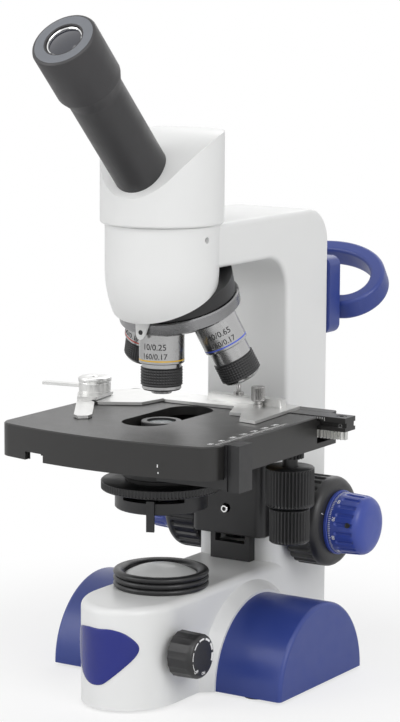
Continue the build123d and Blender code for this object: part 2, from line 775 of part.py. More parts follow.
with BuildPart() as stage:
    with BuildSketch(Plane.XY.offset(stage_low)):
        add(stage_outline(0, stage_back))
        make_face()
        fillet(vertices().sort_by(Axis.Y)[:2], stage_corner)
        fillet(vertices().sort_by(Axis.Y)[-2:], 3)
    extrude(amount=stage_thick)
    with BuildSketch(Plane.XY.offset(stage_low)):
        add(stage_outline(stage_wall, channel_front - stage_wall))
        make_face()
        fillet(vertices().sort_by(Axis.Y)[:2], stage_corner - stage_wall)
    extrude(amount=stage_thick - stage_roof, mode=Mode.SUBTRACT)
    # Ribs that run outside the slide rails
    with BuildSketch(Plane.XY.offset(stage_low + 0.6)):
        for side in (-1, 1):
            with Locations((side * (37 + running_gap + 1.5), (channel_front - stage_wall - 48) / 2)):
                Rectangle(3, channel_front - stage_wall + 48)
    extrude(amount=roof_low - stage_low - 0.6)
    # Gear floor with the drive bearing
    with BuildSketch(Plane.XY.offset(stage_low)):
        with Locations(((40.5 + stage_right - stage_wall) / 2, (30 + channel_front) / 2)):
            Rectangle(stage_right - stage_wall - 40.5, channel_front - 30)
    extrude(amount=channel_floor - stage_low)
    # Channel for the bar
    with BuildSketch(Plane.XY.offset(channel_floor)):
        with Locations((stage_mid, (channel_front + channel_back) / 2)):
            Rectangle(stage_right - stage_left + 2, channel_back - channel_front)
    extrude(amount=stage_thick, mode=Mode.SUBTRACT)
    # Tongues that carry the bar
    tongue_front = bar_front + bar_groove - running_gap
    tongue_rear = bar_back - bar_groove + running_gap
    with BuildSketch(Plane.XY.offset(groove_low + running_gap)):
        with Locations((stage_mid, (channel_front - 0.5 + tongue_front) / 2)):
            Rectangle(stage_right - stage_left, tongue_front - channel_front + 0.5)
        with Locations((stage_mid, (channel_back + 0.5 + tongue_rear) / 2)):
            Rectangle(stage_right - stage_left, channel_back + 0.5 - tongue_rear)
    extrude(amount=groove_high - groove_low - 2 * running_gap)
    # Light slot, gear pocket, drive bearing and front notch
    with BuildSketch(Plane.XY.offset(roof_low - 1)):
        with Locations((0, (slot_back + slot_front) / 2)):
            SlotOverall(slot_back - slot_front, 2 * slot_half, rotation=90)
    extrude(amount=stage_roof + 2, mode=Mode.SUBTRACT)
    with BuildSketch(Plane.XY.offset(channel_floor)):
        with Locations((drive_x, drive_y)):
            Circle(x_pitch + 1.3)
    extrude(amount=6.6, mode=Mode.SUBTRACT)
    with BuildSketch(Plane.XY.offset(stage_low - 1)):
        with Locations((drive_x, drive_y)):
            Circle(4 + running_gap)
    extrude(amount=4, mode=Mode.SUBTRACT)
    with BuildSketch(Plane.XY.offset(stage_low - 1)):
        with Locations((-36, stage_front)):
            Rectangle(12, 14)
    extrude(amount=5.2, mode=Mode.SUBTRACT)
    chamfer(stage.edges().filter_by_position(Axis.Z, stage_top - 0.01, stage_top + 0.01)
            .filter_by(lambda edge: edge.center().Y < -20 and edge.length > 40), 0.6)
finish(stage, "stage_plate")

# Coaxial drive of the stage: outer sleeve for Y, inner rod for X

sleeve_radius = 4.0
rod_radius = 2.0
with BuildPart() as y_shaft:
    add(turned((drive_x, drive_y, 0), (0, 0, 1),
               tube_outline(sleeve_radius, rod_radius + running_gap, y_knob_low + 1, channel_floor - 0.2)).part)
    add(pinion(Plane(origin=(drive_x, drive_y, lower_low), x_dir=(1, 0, 0), z_dir=(0, 0, 1)), y_module,
               stage_teeth, lower_thick, sleeve_radius - 0.5, turn=180).part)
finish(y_shaft, "y_shaft")
y_knob = fluted(Plane(origin=(drive_x, drive_y, y_knob_low), x_dir=(1, 0, 0), z_dir=(0, 0, 1)), y_knob_radius,
                sleeve_radius + seat_gap, y_knob_high - y_knob_low, 24, 1.1, 1.0)
finish(y_knob, "y_knob")
x_teeth = 16
x_module = 2 * x_pitch / x_teeth
x_pinion_low = channel_floor + 0.9
with BuildPart() as x_shaft:
    add(turned((drive_x, drive_y, 0), (0, 0, 1),
               [(0, x_knob_low + 3), (rod_radius, x_knob_low + 3), (rod_radius, 131.9), (0, 131.9)]).part)
    add(pinion(Plane(origin=(drive_x, drive_y, x_pinion_low), x_dir=(0, 1, 0), z_dir=(0, 0, 1)), x_module,
               x_teeth, 5, rod_radius - 0.5, turn=0).part)
finish(x_shaft, "x_shaft")
with BuildPart() as x_knob:
    add(fluted(Plane(origin=(drive_x, drive_y, x_knob_low), x_dir=(1, 0, 0), z_dir=(0, 0, 1)), x_knob_radius,
               rod_radius + seat_gap, x_knob_high - x_knob_low, 20, 1.1, 0.9).part)
    with BuildSketch(Plane.XY.offset(x_knob_low)):
        with Locations((drive_x, drive_y)):
            Circle(rod_radius + 1)
    extrude(amount=2)
finish(x_knob, "x_knob")

# X bar, rack and holder

bar_high = stage_top + plate_lift
with BuildPart() as bar:
    with BuildSketch(Plane.YZ.offset(bar_left)):
        with Locations(((bar_front + bar_back) / 2, (bar_low + bar_high) / 2)):
            Rectangle(bar_back - bar_front, bar_high - bar_low)
        with Locations((bar_front, (groove_low + groove_high) / 2), (bar_back, (groove_low + groove_high) / 2)):
            Rectangle(2 * bar_groove, groove_high - groove_low, mode=Mode.SUBTRACT)
    extrude(amount=bar_right - bar_left)
    with BuildSketch(Plane.XY.offset(bar_high)):
        with Locations((bar_right - 5, (bar_front + bar_back) / 2)):
            Circle(2.7)
    extrude(amount=-1.4, mode=Mode.SUBTRACT)
finish(bar, "x_bar")

x_line = drive_y + x_pitch
x_rack = rack(Plane(origin=(0, x_line, channel_floor + 3), x_dir=(-1, 0, 0), z_dir=(0, 0, 1)), x_module,
              -bar_right, -8, 3.5, bar_low - channel_floor - 3, phase=-drive_x + pi * x_module / 2)
finish(x_rack, "x_rack")

plate_low = bar_high
plate_high = plate_low + plate_thick
with BuildPart() as holder:
    with BuildSketch(Plane.XY.offset(plate_low)):
        with BuildLine():
            Polyline((clip_x + 1, clip_y - sqrt(hub_reach ** 2 - 1)), (clip_x - 6, clip_y - 7), (clip_x - 8.4, clip_y),
                     (clip_x - 7, clip_y + 8), (-50, 60), (46, 60), (49.2, 9.5), (39.1, 11), (31.9, 24.7),
                     (25.4, 23.8), (18.4, 40), (-22.2, 37.8), (-24.9, 39.6), (-27.5, 23.3), (-47.1, 12),
                     (-54, clip_y - sqrt(hub_reach ** 2 - (-54 - clip_x) ** 2)))
            ThreePointArc((-54, clip_y - sqrt(hub_reach ** 2 - (-54 - clip_x) ** 2)),
                          (clip_x + 4.5, clip_y - sqrt(hub_reach ** 2 - 4.5 ** 2)),
                          (clip_x + 1, clip_y - sqrt(hub_reach ** 2 - 1)))
        make_face()
        fillet(vertices().filter_by(lambda point: point.Y > 58), 2)
        with Locations((clip_x, clip_y)):
            Circle(3 + seat_gap, mode=Mode.SUBTRACT)
    extrude(amount=plate_thick)
finish(holder, "holder_plate")

rail_high = plate_high + rail_thick
with BuildPart() as holder_rail:
    with BuildSketch(Plane.XY.offset(plate_high)):
        with Locations((18, 53)):
            Rectangle(44, 6)
        fillet(vertices().sort_by(Axis.X)[-2:], 1)
    extrude(amount=rail_thick)
finish(holder_rail, "holder_rail")

thumb_screw = turned((28.5, 46.6, plate_high), (0, 0, 1),
                     [(0, 0), (2, 0), (2, 1.6), (3, 2), (3, 7.4), (2.6, 8), (0, 8)])
finish(thumb_screw, "thumb_screw")

# Sprung clip finger that closes the slide against the fixed arm

finger_low = plate_high + air_gap
tongue_outline = [(-69, 27), (-66.5, 22), (-36.6, -24.5), (-32.5, -27), (-28.6, -23.5), (-29.2, -19),
                  (-49, 12), (-52.5, 34)]
blade_outline = [(-66.5, 22), (-36.6, -24.5), (-32.5, -27), (-28.6, -23.5), (-29.2, -19), (-48.4, 10.9),
                 (-54.2, 14.8), (-60, 24)]
with BuildPart() as finger:
    with BuildSketch(Plane.XY.offset(finger_low)):
        with Locations((clip_x, clip_y)):
            Circle(clip_cap_radius)
    extrude(amount=clip_cap_height)
    fillet(finger.edges().filter_by_position(Axis.Z, finger_low + clip_cap_height - 0.01,
                                             finger_low + clip_cap_height + 0.01), 1.2)
    with BuildSketch(Plane.XY.offset(finger_low)):
        Polygon(*tongue_outline, align=None)
        with Locations((clip_x, clip_y)):
            Circle(hub_reach + 3.5, mode=Mode.INTERSECT)
    extrude(amount=1.5)
    with BuildSketch(Plane.XY.offset(plate_low)):
        Polygon(*blade_outline, align=None)
        with Locations((clip_x, clip_y)):
            Circle(hub_reach + 3.5, mode=Mode.INTERSECT)
            Circle(hub_reach + air_gap, mode=Mode.SUBTRACT)
    extrude(amount=finger_low + 1.5 - plate_low)
    with BuildSketch(Plane.XY.offset(plate_low)):
        Polygon(*blade_outline, align=None)
        with Locations((clip_x, clip_y)):
            Circle(hub_reach + air_gap, mode=Mode.SUBTRACT)
    extrude(amount=plate_thick)
    with BuildSketch(Plane.XY.offset(finger_low + 3)):
        Polygon((-62, 29), (-lever_reach, 23.8), (-lever_reach, 28.8), (-62, 34), align=None)
        fillet(vertices().sort_by(Axis.X)[:2], 2)
    extrude(amount=1.5)
    with BuildSketch(Plane.XY.offset(finger_low)):
        with Locations((clip_x, clip_y)):
            Circle(3 + running_gap)
    extrude(amount=clip_cap_height - 2, mode=Mode.SUBTRACT)
finish(finger, "clip_finger")
pin_top = finger_low + clip_cap_height - 2.3
clip_pin = turned((clip_x, clip_y, plate_low), (0, 0, 1),
                  [(0, 0), (3, 0), (3, pin_top - plate_low), (0, pin_top - plate_low)])
finish(clip_pin, "clip_pin")

# Condenser: barrel in the collar, focusing ring, iris housing and lever

iris_high = ring_low - 0.2
condenser = turned((0, 0, 0), (0, 0, 1),
                   [(14, iris_high), (barrel_radius, iris_high), (barrel_radius, 121.4), (11.6, 121.8),
                    (11.6, 133.6), (condenser_nose, 134.6), (condenser_nose, condenser_top - 0.4),
                    (condenser_nose - 0.4, condenser_top), (7.4, condenser_top), (7.4, condenser_top - 3),
                    (6.8, condenser_top - 3), (6.8, 114), (14, 109)])
finish(condenser, "condenser_barrel")
with BuildPart() as housing:
    add(turned((0, 0, 0), (0, 0, 1),
               [(15.1, iris_low), (iris_radius - 0.6, iris_low), (iris_radius, iris_low + 0.6),
                (iris_radius, iris_high - 0.4), (iris_radius - 0.4, iris_high), (17, iris_high),
                (17, iris_low + 5.6), (13.4, iris_low + 5.6), (13.4, iris_low + 4.8), (15.1, iris_low + 4.8)]).part)
    with BuildSketch(Plane.XY.offset(iris_low + 5.9)):
        with BuildLine():
            CenterArc((0, 0), iris_radius + 2, iris_azimuth - 42, 84)
            Line((0, 0), ((iris_radius + 2) * cos(radians(iris_azimuth - 42)),
                          (iris_radius + 2) * sin(radians(iris_azimuth - 42))))
            Line((0, 0), ((iris_radius + 2) * cos(radians(iris_azimuth + 42)),
                          (iris_radius + 2) * sin(radians(iris_azimuth + 42))))
        make_face()
    extrude(amount=2.0, mode=Mode.SUBTRACT)
finish(housing, "iris_housing")
with BuildPart() as condenser_lenses:
    add(turned((0, 0, condenser_top - 3), (0, 0, 1), [(0, 0), (7.35, 0), (7.35, 1.8), (5, 2.3), (0, 2.6)]).part)
    add(turned((0, 0, iris_low), (0, 0, 1), [(0, 0.6), (9, 1.2), (15.05, 2.2), (15.05, 4.8), (0, 4.8)]).part)
finish(condenser_lenses, "condenser_lenses")
with BuildPart() as iris:
    lever_turn = Location((0, 0, 0), (0, 0, 1), iris_azimuth)
    add(turned((0, 0, 0), (0, 0, 1), tube_outline(17 - running_gap, 8, iris_low + 6.3, iris_low + 7.5)).part)
    with BuildSketch(Plane.XY.offset(iris_low + 6.3)):
        with Locations(lever_turn):
            with Locations((19.9, 0)):
                Rectangle(11, 4)
    extrude(amount=1.2)
    with BuildSketch(Plane.XY.offset(86)):
        with Locations(lever_turn):
            with Locations((24.8, 0)):
                Rectangle(1.6, 4)
    extrude(amount=iris_low + 7.5 - 86)
finish(iris, "iris_lever")
with BuildPart() as knurled_ring:
    add(turned((0, 0, ring_low), (0, 0, 1),
               tube_outline(ring_radius, barrel_radius + running_gap, 0, ring_high - ring_low, 0.5)).part)
    with BuildSketch(Plane.XY.offset(ring_low)):
        with PolarLocations(ring_radius + 0.3, 60):
            Circle(0.8)
    extrude(amount=ring_high - ring_low, mode=Mode.SUBTRACT)
finish(knurled_ring, "condenser_ring")

# Nosepiece: fixed base, turret on its pivot, and a blank in the rear seat

tilt = radians(turret_tilt)
turret_axis = (0, sin(tilt), -cos(tilt))
apex = (0, 0, turret_apex)
seat_slant = objective_circle / sin(tilt)
seat_axes = {
    "front": (0, 0, -1),
    "right": (sin(tilt), sin(tilt) * cos(tilt), -cos(tilt) ** 2),
    "left": (-sin(tilt), sin(tilt) * cos(tilt), -cos(tilt) ** 2),
    "rear": (0, 2 * sin(tilt) * cos(tilt), sin(tilt) ** 2 - cos(tilt) ** 2),
}
with BuildPart() as nose_base:
    add(turned(apex, turret_axis, [(0, 30), (29.5, 30), (29.5, turret_high - air_gap), (0, turret_high - air_gap)]).part)
    split(bisect_by=Plane(origin=(0, 0, nose_cut_height), z_dir=(0, -nose_slope, 1)), keep=Keep.BOTTOM)
    split(bisect_by=Plane.XY.offset(arm_under), keep=Keep.BOTTOM)
    with BuildSketch(Plane.XY.offset(150)):
        Circle(light_bore)
    extrude(amount=80, mode=Mode.SUBTRACT)
    add(turned(apex, turret_axis, [(0, 20), (pivot_radius + seat_gap, 20), (pivot_radius + seat_gap, 60),
                                   (0, 60)]).part, mode=Mode.SUBTRACT)
finish(nose_base, "nosepiece_base")

with BuildPart() as turret:
    add(turned(apex, turret_axis,
               [(pivot_radius + running_gap, turret_high), (turret_radius - 0.6, turret_high),
                (turret_radius, turret_high + 0.6), (turret_radius, turret_low - 0.7),
                (turret_radius - 2.6, turret_low + 1.3), (pivot_radius + running_gap, turret_low + 1.3)]).part)
    for seat_axis in seat_axes.values():
        add(turned(apex, seat_axis, [(0, 44), (11.7, 44), (11.7, seat_slant), (0, seat_slant)]).part)
    for seat_axis in seat_axes.values():
        add(turned(apex, seat_axis, [(0, seat_slant), (11.9, seat_slant), (11.9, 70), (0, 70)]).part,
            mode=Mode.SUBTRACT)
        add(turned(apex, seat_axis, [(0, 30), (thread_radius, 30), (thread_radius, 70), (0, 70)]).part,
            mode=Mode.SUBTRACT)
    add(turned(apex, turret_axis, [(0, 30), (45, 30), (45, turret_high), (0, turret_high)]).part, mode=Mode.SUBTRACT)
    add(turned(apex, turret_axis, [(0, 30), (pivot_radius + running_gap, 30), (pivot_radius + running_gap, 70),
                                   (0, 70)]).part, mode=Mode.SUBTRACT)
finish(turret, "turret")
pivot = turned(apex, turret_axis,
               [(0, 38), (pivot_radius, 38), (pivot_radius, turret_low + 1.6), (6, turret_low + 1.6),
                (6, turret_low + 3.6), (5, turret_low + 4.2), (1.2, turret_low + 4.2), (1.2, turret_low + 3.2),
                (0, turret_low + 3.2)])
finish(pivot, "turret_pivot")
blank = turned(apex, seat_axes["rear"],
               [(0, seat_slant - thread_length), (thread_radius - seat_gap, seat_slant - thread_length), (thread_radius - seat_gap, seat_slant),
                (11.4, seat_slant), (11.4, seat_slant + 1.6), (10.8, seat_slant + 2.2), (0, seat_slant + 2.2)])
finish(blank, "blank_plug")

# Objectives: a barrel that screws in, a knurled nose with its tip, and a front lens

objectives = [
    ("10x", "front", 17.2, 20.0, 28.0, 30.0, 33.0, 4.5, 2.6),
    ("40x", "right", 24.3, 27.0, 36.0, 40.0, 44.4, 4.3, 1.4),
    ("4x", "left", 21.0, 22.0, 33.0, 33.6, 34.4, 8.4, 6.0),
]
front_lenses = []
for tag, slot, barrel, neck, sleeve, taper, end, tip_radius, glass_radius in objectives:
    direction = seat_axes[slot]
    bore = min(8.0, tip_radius - 1)
    body = turned(apex, direction, [(radius, seat_slant + length) for radius, length in (
        (8.2, -thread_length), (thread_radius - seat_gap, -thread_length), (thread_radius - seat_gap, 0),
        (objective_radius - 0.4, 0), (objective_radius, 0.4), (objective_radius, barrel - 0.4),
        (objective_radius - 0.5, barrel), (objective_radius - 0.6, neck), (8.2, neck))])
    finish(body, f"objective_{tag}_barrel")
    grip = turned(apex, direction, [(radius, seat_slant + length) for radius, length in (
        (bore, neck), (knurl_radius - 0.4, neck), (knurl_radius, neck + 0.4), (knurl_radius, sleeve - 0.4),
        (knurl_radius - 0.4, sleeve), (knurl_radius - 1.1, sleeve), (tip_radius + 1.2, taper),
        (tip_radius, taper + 0.4 * (end - taper)), (tip_radius, end - 0.3), (tip_radius - 0.3, end),
        (glass_radius + seat_gap, end), (glass_radius + seat_gap, end - 1.4), (glass_radius - 0.4, end - 1.4),
        (glass_radius - 0.4, end - 2.4), (bore, end - 4.4))])
    finish(grip, f"objective_{tag}_nose")
    front_lenses.append(turned(apex, direction, [
        (0, seat_slant + end - 1.4), (glass_radius, seat_slant + end - 1.4),
        (glass_radius, seat_slant + end - 0.4), (0, seat_slant + end - 0.2)]))
with BuildPart() as lenses:
    for glass in front_lenses:
        add(glass.part)
finish(lenses, "objective_lenses")

# Monocular head, turning in the arm's socket

head_foot = arm_top + head_gap
view_angle = radians(tube_tilt)
view_axis = (0, -cos(view_angle), sin(view_angle))
view_start = (0, 0, tube_cross)
with BuildPart() as head:
    bend_angle = radians(head_slope)
    bend_centre = head_top - head_bend
    bend_end = (head_bend_y - head_bend * sin(bend_angle), bend_centre + head_bend * cos(bend_angle))
    bend_mid = (head_bend_y - head_bend * sin(bend_angle / 2), bend_centre + head_bend * cos(bend_angle / 2))
    front = -head_radius - 2
    with BuildSketch(Plane.YZ):
        with BuildLine():
            Line((head_radius + 2, head_foot), (head_radius + 2, head_top))
            Line((head_radius + 2, head_top), (head_bend_y, head_top))
            ThreePointArc((head_bend_y, head_top), bend_mid, bend_end)
            Line(bend_end, (front, bend_end[1] - tan(bend_angle) * (bend_end[0] - front)))
            Line((front, bend_end[1] - tan(bend_angle) * (bend_end[0] - front)), (front, head_foot))
            Line((front, head_foot), (head_radius + 2, head_foot))
        make_face()
    extrude(amount=head_radius + 2, both=True)
    with BuildSketch(Plane.XY.offset(head_foot)):
        Circle(head_radius)
    extrude(amount=60, mode=Mode.INTERSECT)
    foot_edge_ring = head.edges().filter_by_position(Axis.Z, head_foot - 0.01, head_foot + 0.01)
    fillet(foot_edge_ring, 1.5)
    with BuildSketch(Plane.XY.offset(head_foot)):
        Circle(22)
    extrude(amount=24, mode=Mode.SUBTRACT)
    add(turned(view_start, view_axis, [(0, 18), (eye_tube_radius + seat_gap, 18),
                                       (eye_tube_radius + seat_gap, 70), (0, 70)]).part, mode=Mode.SUBTRACT)
finish(head, "head_shell")

spigot = turned((0, 0, 0), (0, 0, 1),
                [(9, arm_top - socket_depth + 0.2), (socket_radius, arm_top - socket_depth + 0.2),
                 (socket_radius, head_foot), (22 - seat_gap, head_foot), (22 - seat_gap, head_foot + 3.4),
                 (9, head_foot + 3.4)])
finish(spigot, "head_ring")
with BuildPart() as prism:
    with BuildSketch(Plane.YZ):
        Polygon((-9, head_foot + 3.4), (9, head_foot + 3.4), (9, head_foot + 20), (1, head_foot + 20),
                (-9, head_foot + 12), align=None)
    extrude(amount=9, both=True)
finish(prism, "prism")
eye_tube = turned(view_start, view_axis, tube_outline(eye_tube_radius, eye_tube_bore, eye_tube_start, eye_tube_end))
finish(eye_tube, "eye_tube")
eyepiece = turned(view_start, view_axis,
                  [(10.2, 60), (eye_tube_bore - seat_gap, 60), (eye_tube_bore - seat_gap, eye_tube_end),
                   (14.3, eye_tube_end), (eyepiece_radius, eyepiece_taper),
                   (eyepiece_radius, eyepiece_end - 1.4), (eyepiece_radius - 0.4, eyepiece_end - 0.4),
                   (eyepiece_radius - 1.3, eyepiece_end), (9.6, eyepiece_end), (8, eyepiece_end - 2),
                   (8, eyepiece_end - 3.9), (8.55, eyepiece_end - 3.9), (8.55, eyepiece_end - 9),
                   (10.2, eyepiece_end - 11)])
finish(eyepiece, "eyepiece")
with BuildPart() as eyepiece_lenses:
    add(turned(view_start, view_axis, [(0, 60.6), (10.15, 61.4), (10.15, 63.4), (0, 63.8)]).part)
    add(turned(view_start, view_axis, [(0, eyepiece_end - 8), (8.5, eyepiece_end - 7), (8.5, eyepiece_end - 4.2),
                                       (7.8, eyepiece_end - 4), (0, eyepiece_end - 3)]).part)
finish(eyepiece_lenses, "eyepiece_lenses")

# Carrying handle: bolted plate with a tilted loop

loop_angle = radians(loop_tilt)
loop_plane = Plane(origin=(0, column_back + handle_thick + 0.5, loop_height), x_dir=(1, 0, 0),
                   z_dir=(0, -sin(loop_angle), cos(loop_angle)))


def loop_plan(inset=0.0):
    """Outline of the loop inside a sketch, drawn in from its outer edge by inset."""
    half = loop_half - inset
    with Locations((0, loop_waist)):
        Ellipse(half, loop_reach - inset)
    with Locations((0, loop_waist + loop_reach)):
        Rectangle(2.2 * loop_half, 2 * loop_reach, mode=Mode.INTERSECT)
    with Locations((0, (loop_waist + inset) / 2)):
        Rectangle(2 * half, loop_waist - inset)
    fillet(vertices().sort_by(Axis.Y)[:2], loop_waist - inset - 0.1)


with BuildPart() as handle:
    with BuildSketch(loop_plane):
        loop_plan()
        with Locations((0, -4.2)):
            Rectangle(2 * (loop_half - loop_waist), 8.6)
    extrude(amount=-loop_depth)
    with BuildSketch(loop_plane):
        loop_plan(loop_band)
    extrude(amount=-loop_depth, mode=Mode.SUBTRACT)
    fillet(handle.edges().filter_by(lambda edge: edge.length > 45 and edge.center().Y > 139), loop_edge)
    with BuildSketch(Plane.XZ.offset(-column_back)):
        with Locations((0, (handle_low + handle_high) / 2)):
            RectangleRounded(2 * handle_half, handle_high - handle_low, 5)
    extrude(amount=-handle_thick)
finish(handle, "handle")
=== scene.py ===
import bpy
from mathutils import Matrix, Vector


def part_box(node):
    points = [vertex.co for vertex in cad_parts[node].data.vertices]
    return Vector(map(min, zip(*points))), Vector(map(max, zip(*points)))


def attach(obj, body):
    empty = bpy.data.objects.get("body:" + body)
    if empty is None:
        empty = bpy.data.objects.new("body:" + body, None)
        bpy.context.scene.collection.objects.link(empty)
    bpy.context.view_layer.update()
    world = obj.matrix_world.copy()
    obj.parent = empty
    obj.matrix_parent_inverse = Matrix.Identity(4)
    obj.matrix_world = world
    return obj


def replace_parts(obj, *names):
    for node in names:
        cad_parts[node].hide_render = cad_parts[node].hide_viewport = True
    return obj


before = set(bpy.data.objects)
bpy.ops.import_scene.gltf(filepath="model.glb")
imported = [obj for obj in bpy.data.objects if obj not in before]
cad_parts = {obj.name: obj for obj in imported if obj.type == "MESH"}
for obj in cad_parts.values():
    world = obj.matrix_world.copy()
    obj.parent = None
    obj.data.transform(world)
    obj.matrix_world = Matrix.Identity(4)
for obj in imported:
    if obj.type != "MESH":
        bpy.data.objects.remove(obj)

"""Finishes, fine detail, studio and camera for a monocular microscope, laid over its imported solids.

Lengths in the classes are millimetres about the optical axis, with the table at height zero. They become
metres in the shared frame in one place, the function `metres`.
"""
import logging
import math
from dataclasses import dataclass, field
from enum import Enum
from typing import Any, Callable, Dict, List, Optional, Sequence, Tuple

import bmesh
import bpy
import numpy as np
from mathutils import Matrix, Vector

LOG = logging.getLogger("microscope")
AXIS_X = 6.5
AXIS_Y = -44.4365
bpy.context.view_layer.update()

MILLIMETRE = 0.001
PER_METRE = 1000.0
MERGE_DISTANCE = 1e-7
CRISP_ANGLE = 30.0
SOFT_ANGLE = 35.0
KNOB_ANGLE = 40.0
WIDE_ANGLE = 50.0
KNURL_ANGLE = 60.0
GRAIN_HEIGHT = 0.0002
COAT_ROUGHNESS = 0.08
GLASS_INDEX = 1.5
GLASS_COAT = 0.3
TYPE_SCALE = 1.35
UP = (0.0, 0.0, 1.0)
RIGHT = (1.0, 0.0, 0.0)
FRONT = (0.0, -1.0, 0.0)
BACK = (0.0, 1.0, 0.0)
WHITE = (1.0, 1.0, 1.0, 1.0)

Triple = Tuple[float, float, float]
Profile = Sequence[Tuple[float, float]]
Relief = Callable[[np.ndarray, np.ndarray], np.ndarray]
Surface = Callable[[np.ndarray, np.ndarray, np.ndarray], np.ndarray]


def metres(points: np.ndarray) -> np.ndarray:
    """Turn millimetres about the optical axis into metres in the shared frame.

    Args:
        points: Array whose last axis is x, y, z.

    Returns:
        The same points shifted to the footprint's centre and scaled by a thousandth.
    """
    return (np.asarray(points, float) + np.array([AXIS_X, AXIS_Y, 0.0])) * MILLIMETRE


def smooth_step(value: np.ndarray, low: float, high: float) -> np.ndarray:
    """Cubic ease from 0 at low to 1 at high: t squared times three minus two t.

    Args:
        value: Where the ease is read.
        low: Start of the ramp.
        high: End of the ramp.

    Returns:
        Array of the same shape between 0 and 1.
    """
    t = np.clip((value - low) / (high - low), 0.0, 1.0)
    return t * t * (3.0 - 2.0 * t)


# Shader nodes


def fill_inputs(tree: bpy.types.NodeTree, node: bpy.types.Node, inputs: Dict[Any, Any]) -> None:
    """Set the inputs of a node, or link those whose value is a socket.

    Args:
        tree: Tree of the node.
        node: The node.
        inputs: Value or incoming socket of each input.
    """
    for key, value in inputs.items():
        if isinstance(value, bpy.types.NodeSocket):
            tree.links.new(value, node.inputs[key])
        else:
            node.inputs[key].default_value = value


def add_node(tree: bpy.types.NodeTree, kind: str, inputs: Dict[Any, Any], **settings: Any) -> bpy.types.Node:
    """Add a shader node, set its properties and fill its inputs.

    Args:
        tree: Tree that takes the node.
        kind: Type of the node, less its leading word.
        inputs: Value or incoming socket of each input.
        settings: Properties of the node.

    Returns:
        The node.
    """
    node = tree.nodes.new("ShaderNode" + kind)
    for name, value in settings.items():
        setattr(node, name, value)
    fill_inputs(tree, node, inputs)
    return node


def object_spot(tree: bpy.types.NodeTree) -> bpy.types.NodeSocket:
    """Return a socket with the object coordinates."""
    return add_node(tree, "TexCoord", {}).outputs["Object"]


def noise_at(tree: bpy.types.NodeTree, spot: bpy.types.NodeSocket, scale: float,
             detail: float = 2.0) -> bpy.types.NodeSocket:
    """Add a noise texture.

    Args:
        tree: Tree of the material.
        spot: Socket with the coordinates.
        scale: Noise scale per metre.
        detail: Octaves.

    Returns:
        Socket with the noise.
    """
    return add_node(tree, "TexNoise", {"Scale": scale, "Detail": detail, "Vector": spot}).outputs["Fac"]


def shared_material(name: str, fill: Callable[[bpy.types.NodeTree], None]) -> bpy.types.Material:
    """Return the material with a name, made the first time that it is asked for.

    Args:
        name: Name of the material.
        fill: Function that adds the nodes to its tree.

    Returns:
        The material.
    """
    material = bpy.data.materials.get(name)
    if material is None:
        material = bpy.data.materials.new(name)
        material.use_nodes = True
        fill(material.node_tree)
    return material


# Finishes


class Pattern(Enum):
    """How a finish is broken up across its surface."""

    SPECKLE = "fine even grain"
    TURNED = "rings left by a lathe"
    BRUSHED = "long straight scratches"
    SMOOTH = "almost even, with slow variation"


@dataclass(frozen=True)
class Finish:
    """One surface finish, built as a node material.

    The colour is multiplied by a slow noise, the roughness follows a second noise between two limits, and
    the bump comes from the pattern's own texture.
    """

    name: str
    colour: Triple
    slot: str
    roughness: float = 0.4
    roughness_swing: float = 0.06
    metallic: float = 0.0
    coat: float = 0.0
    mottle: float = 0.05
    mottle_scale: float = 60.0
    pattern: Pattern = Pattern.SPECKLE
    grain_scale: float = 2500.0
    grain_depth: float = 0.05
    along: Triple = UP
    specular: float = 0.5

    def material(self) -> bpy.types.Material:
        """Return the node material of this finish."""
        return shared_material(self.name, self._fill)

    def _fill(self, tree: bpy.types.NodeTree) -> None:
        """Add the nodes of the finish to its tree."""
        spot = object_spot(tree)
        dark = tuple(c * (1.0 - self.mottle) for c in self.colour)
        light = tuple(min(1.0, c * (1.0 + self.mottle)) for c in self.colour)
        tint = add_node(tree, "Mix", {"A": (*dark, 1.0), "B": (*light, 1.0),
                                      "Factor": noise_at(tree, spot, self.mottle_scale, 3.0)},
                        data_type="RGBA", blend_type="MIX")
        spread = add_node(tree, "MapRange", {
            "From Min": 0.3, "From Max": 0.7,
            "To Min": max(0.02, self.roughness - self.roughness_swing),
            "To Max": min(1.0, self.roughness + self.roughness_swing),
            "Value": noise_at(tree, spot, self.mottle_scale * 2.3, 4.0)})
        bump = add_node(tree, "Bump", {"Strength": self.grain_depth, "Distance": GRAIN_HEIGHT,
                                       "Height": self._relief(tree, spot)})
        fill_inputs(tree, tree.nodes["Principled BSDF"], {
            "Metallic": self.metallic, "Coat Weight": self.coat, "Coat Roughness": COAT_ROUGHNESS,
            "Specular IOR Level": self.specular, "Base Color": tint.outputs["Result"],
            "Roughness": spread.outputs["Result"], "Normal": bump.outputs["Normal"]})

    def _relief(self, tree: bpy.types.NodeTree, spot: bpy.types.NodeSocket) -> bpy.types.NodeSocket:
        """Add the texture that gives the finish its fine relief.

        A speckle is plain noise. For rings and scratches the coordinates are turned to the finish's axis,
        then squeezed across it for rings that run round it, and along it for scratches that follow it.

        Args:
            tree: Node tree of the material.
            spot: Socket with the coordinates.

        Returns:
            Socket with the height.
        """
        if self.pattern is Pattern.SPECKLE:
            return noise_at(tree, spot, self.grain_scale)
        if self.pattern is Pattern.SMOOTH:
            return noise_at(tree, spot, self.grain_scale * 0.1)
        spin = Vector(self.along).rotation_difference(Vector(UP)).to_euler()
        turn = add_node(tree, "Mapping", {"Rotation": spin, "Vector": spot})
        squeeze = (0.02, 0.02, 1.0) if self.pattern is Pattern.TURNED else (1.0, 1.0, 0.02)
        squeezed = add_node(tree, "VectorMath", {0: turn.outputs["Vector"], 1: squeeze}, operation="MULTIPLY")
        return noise_at(tree, squeezed.outputs["Vector"], self.grain_scale, 3.0)


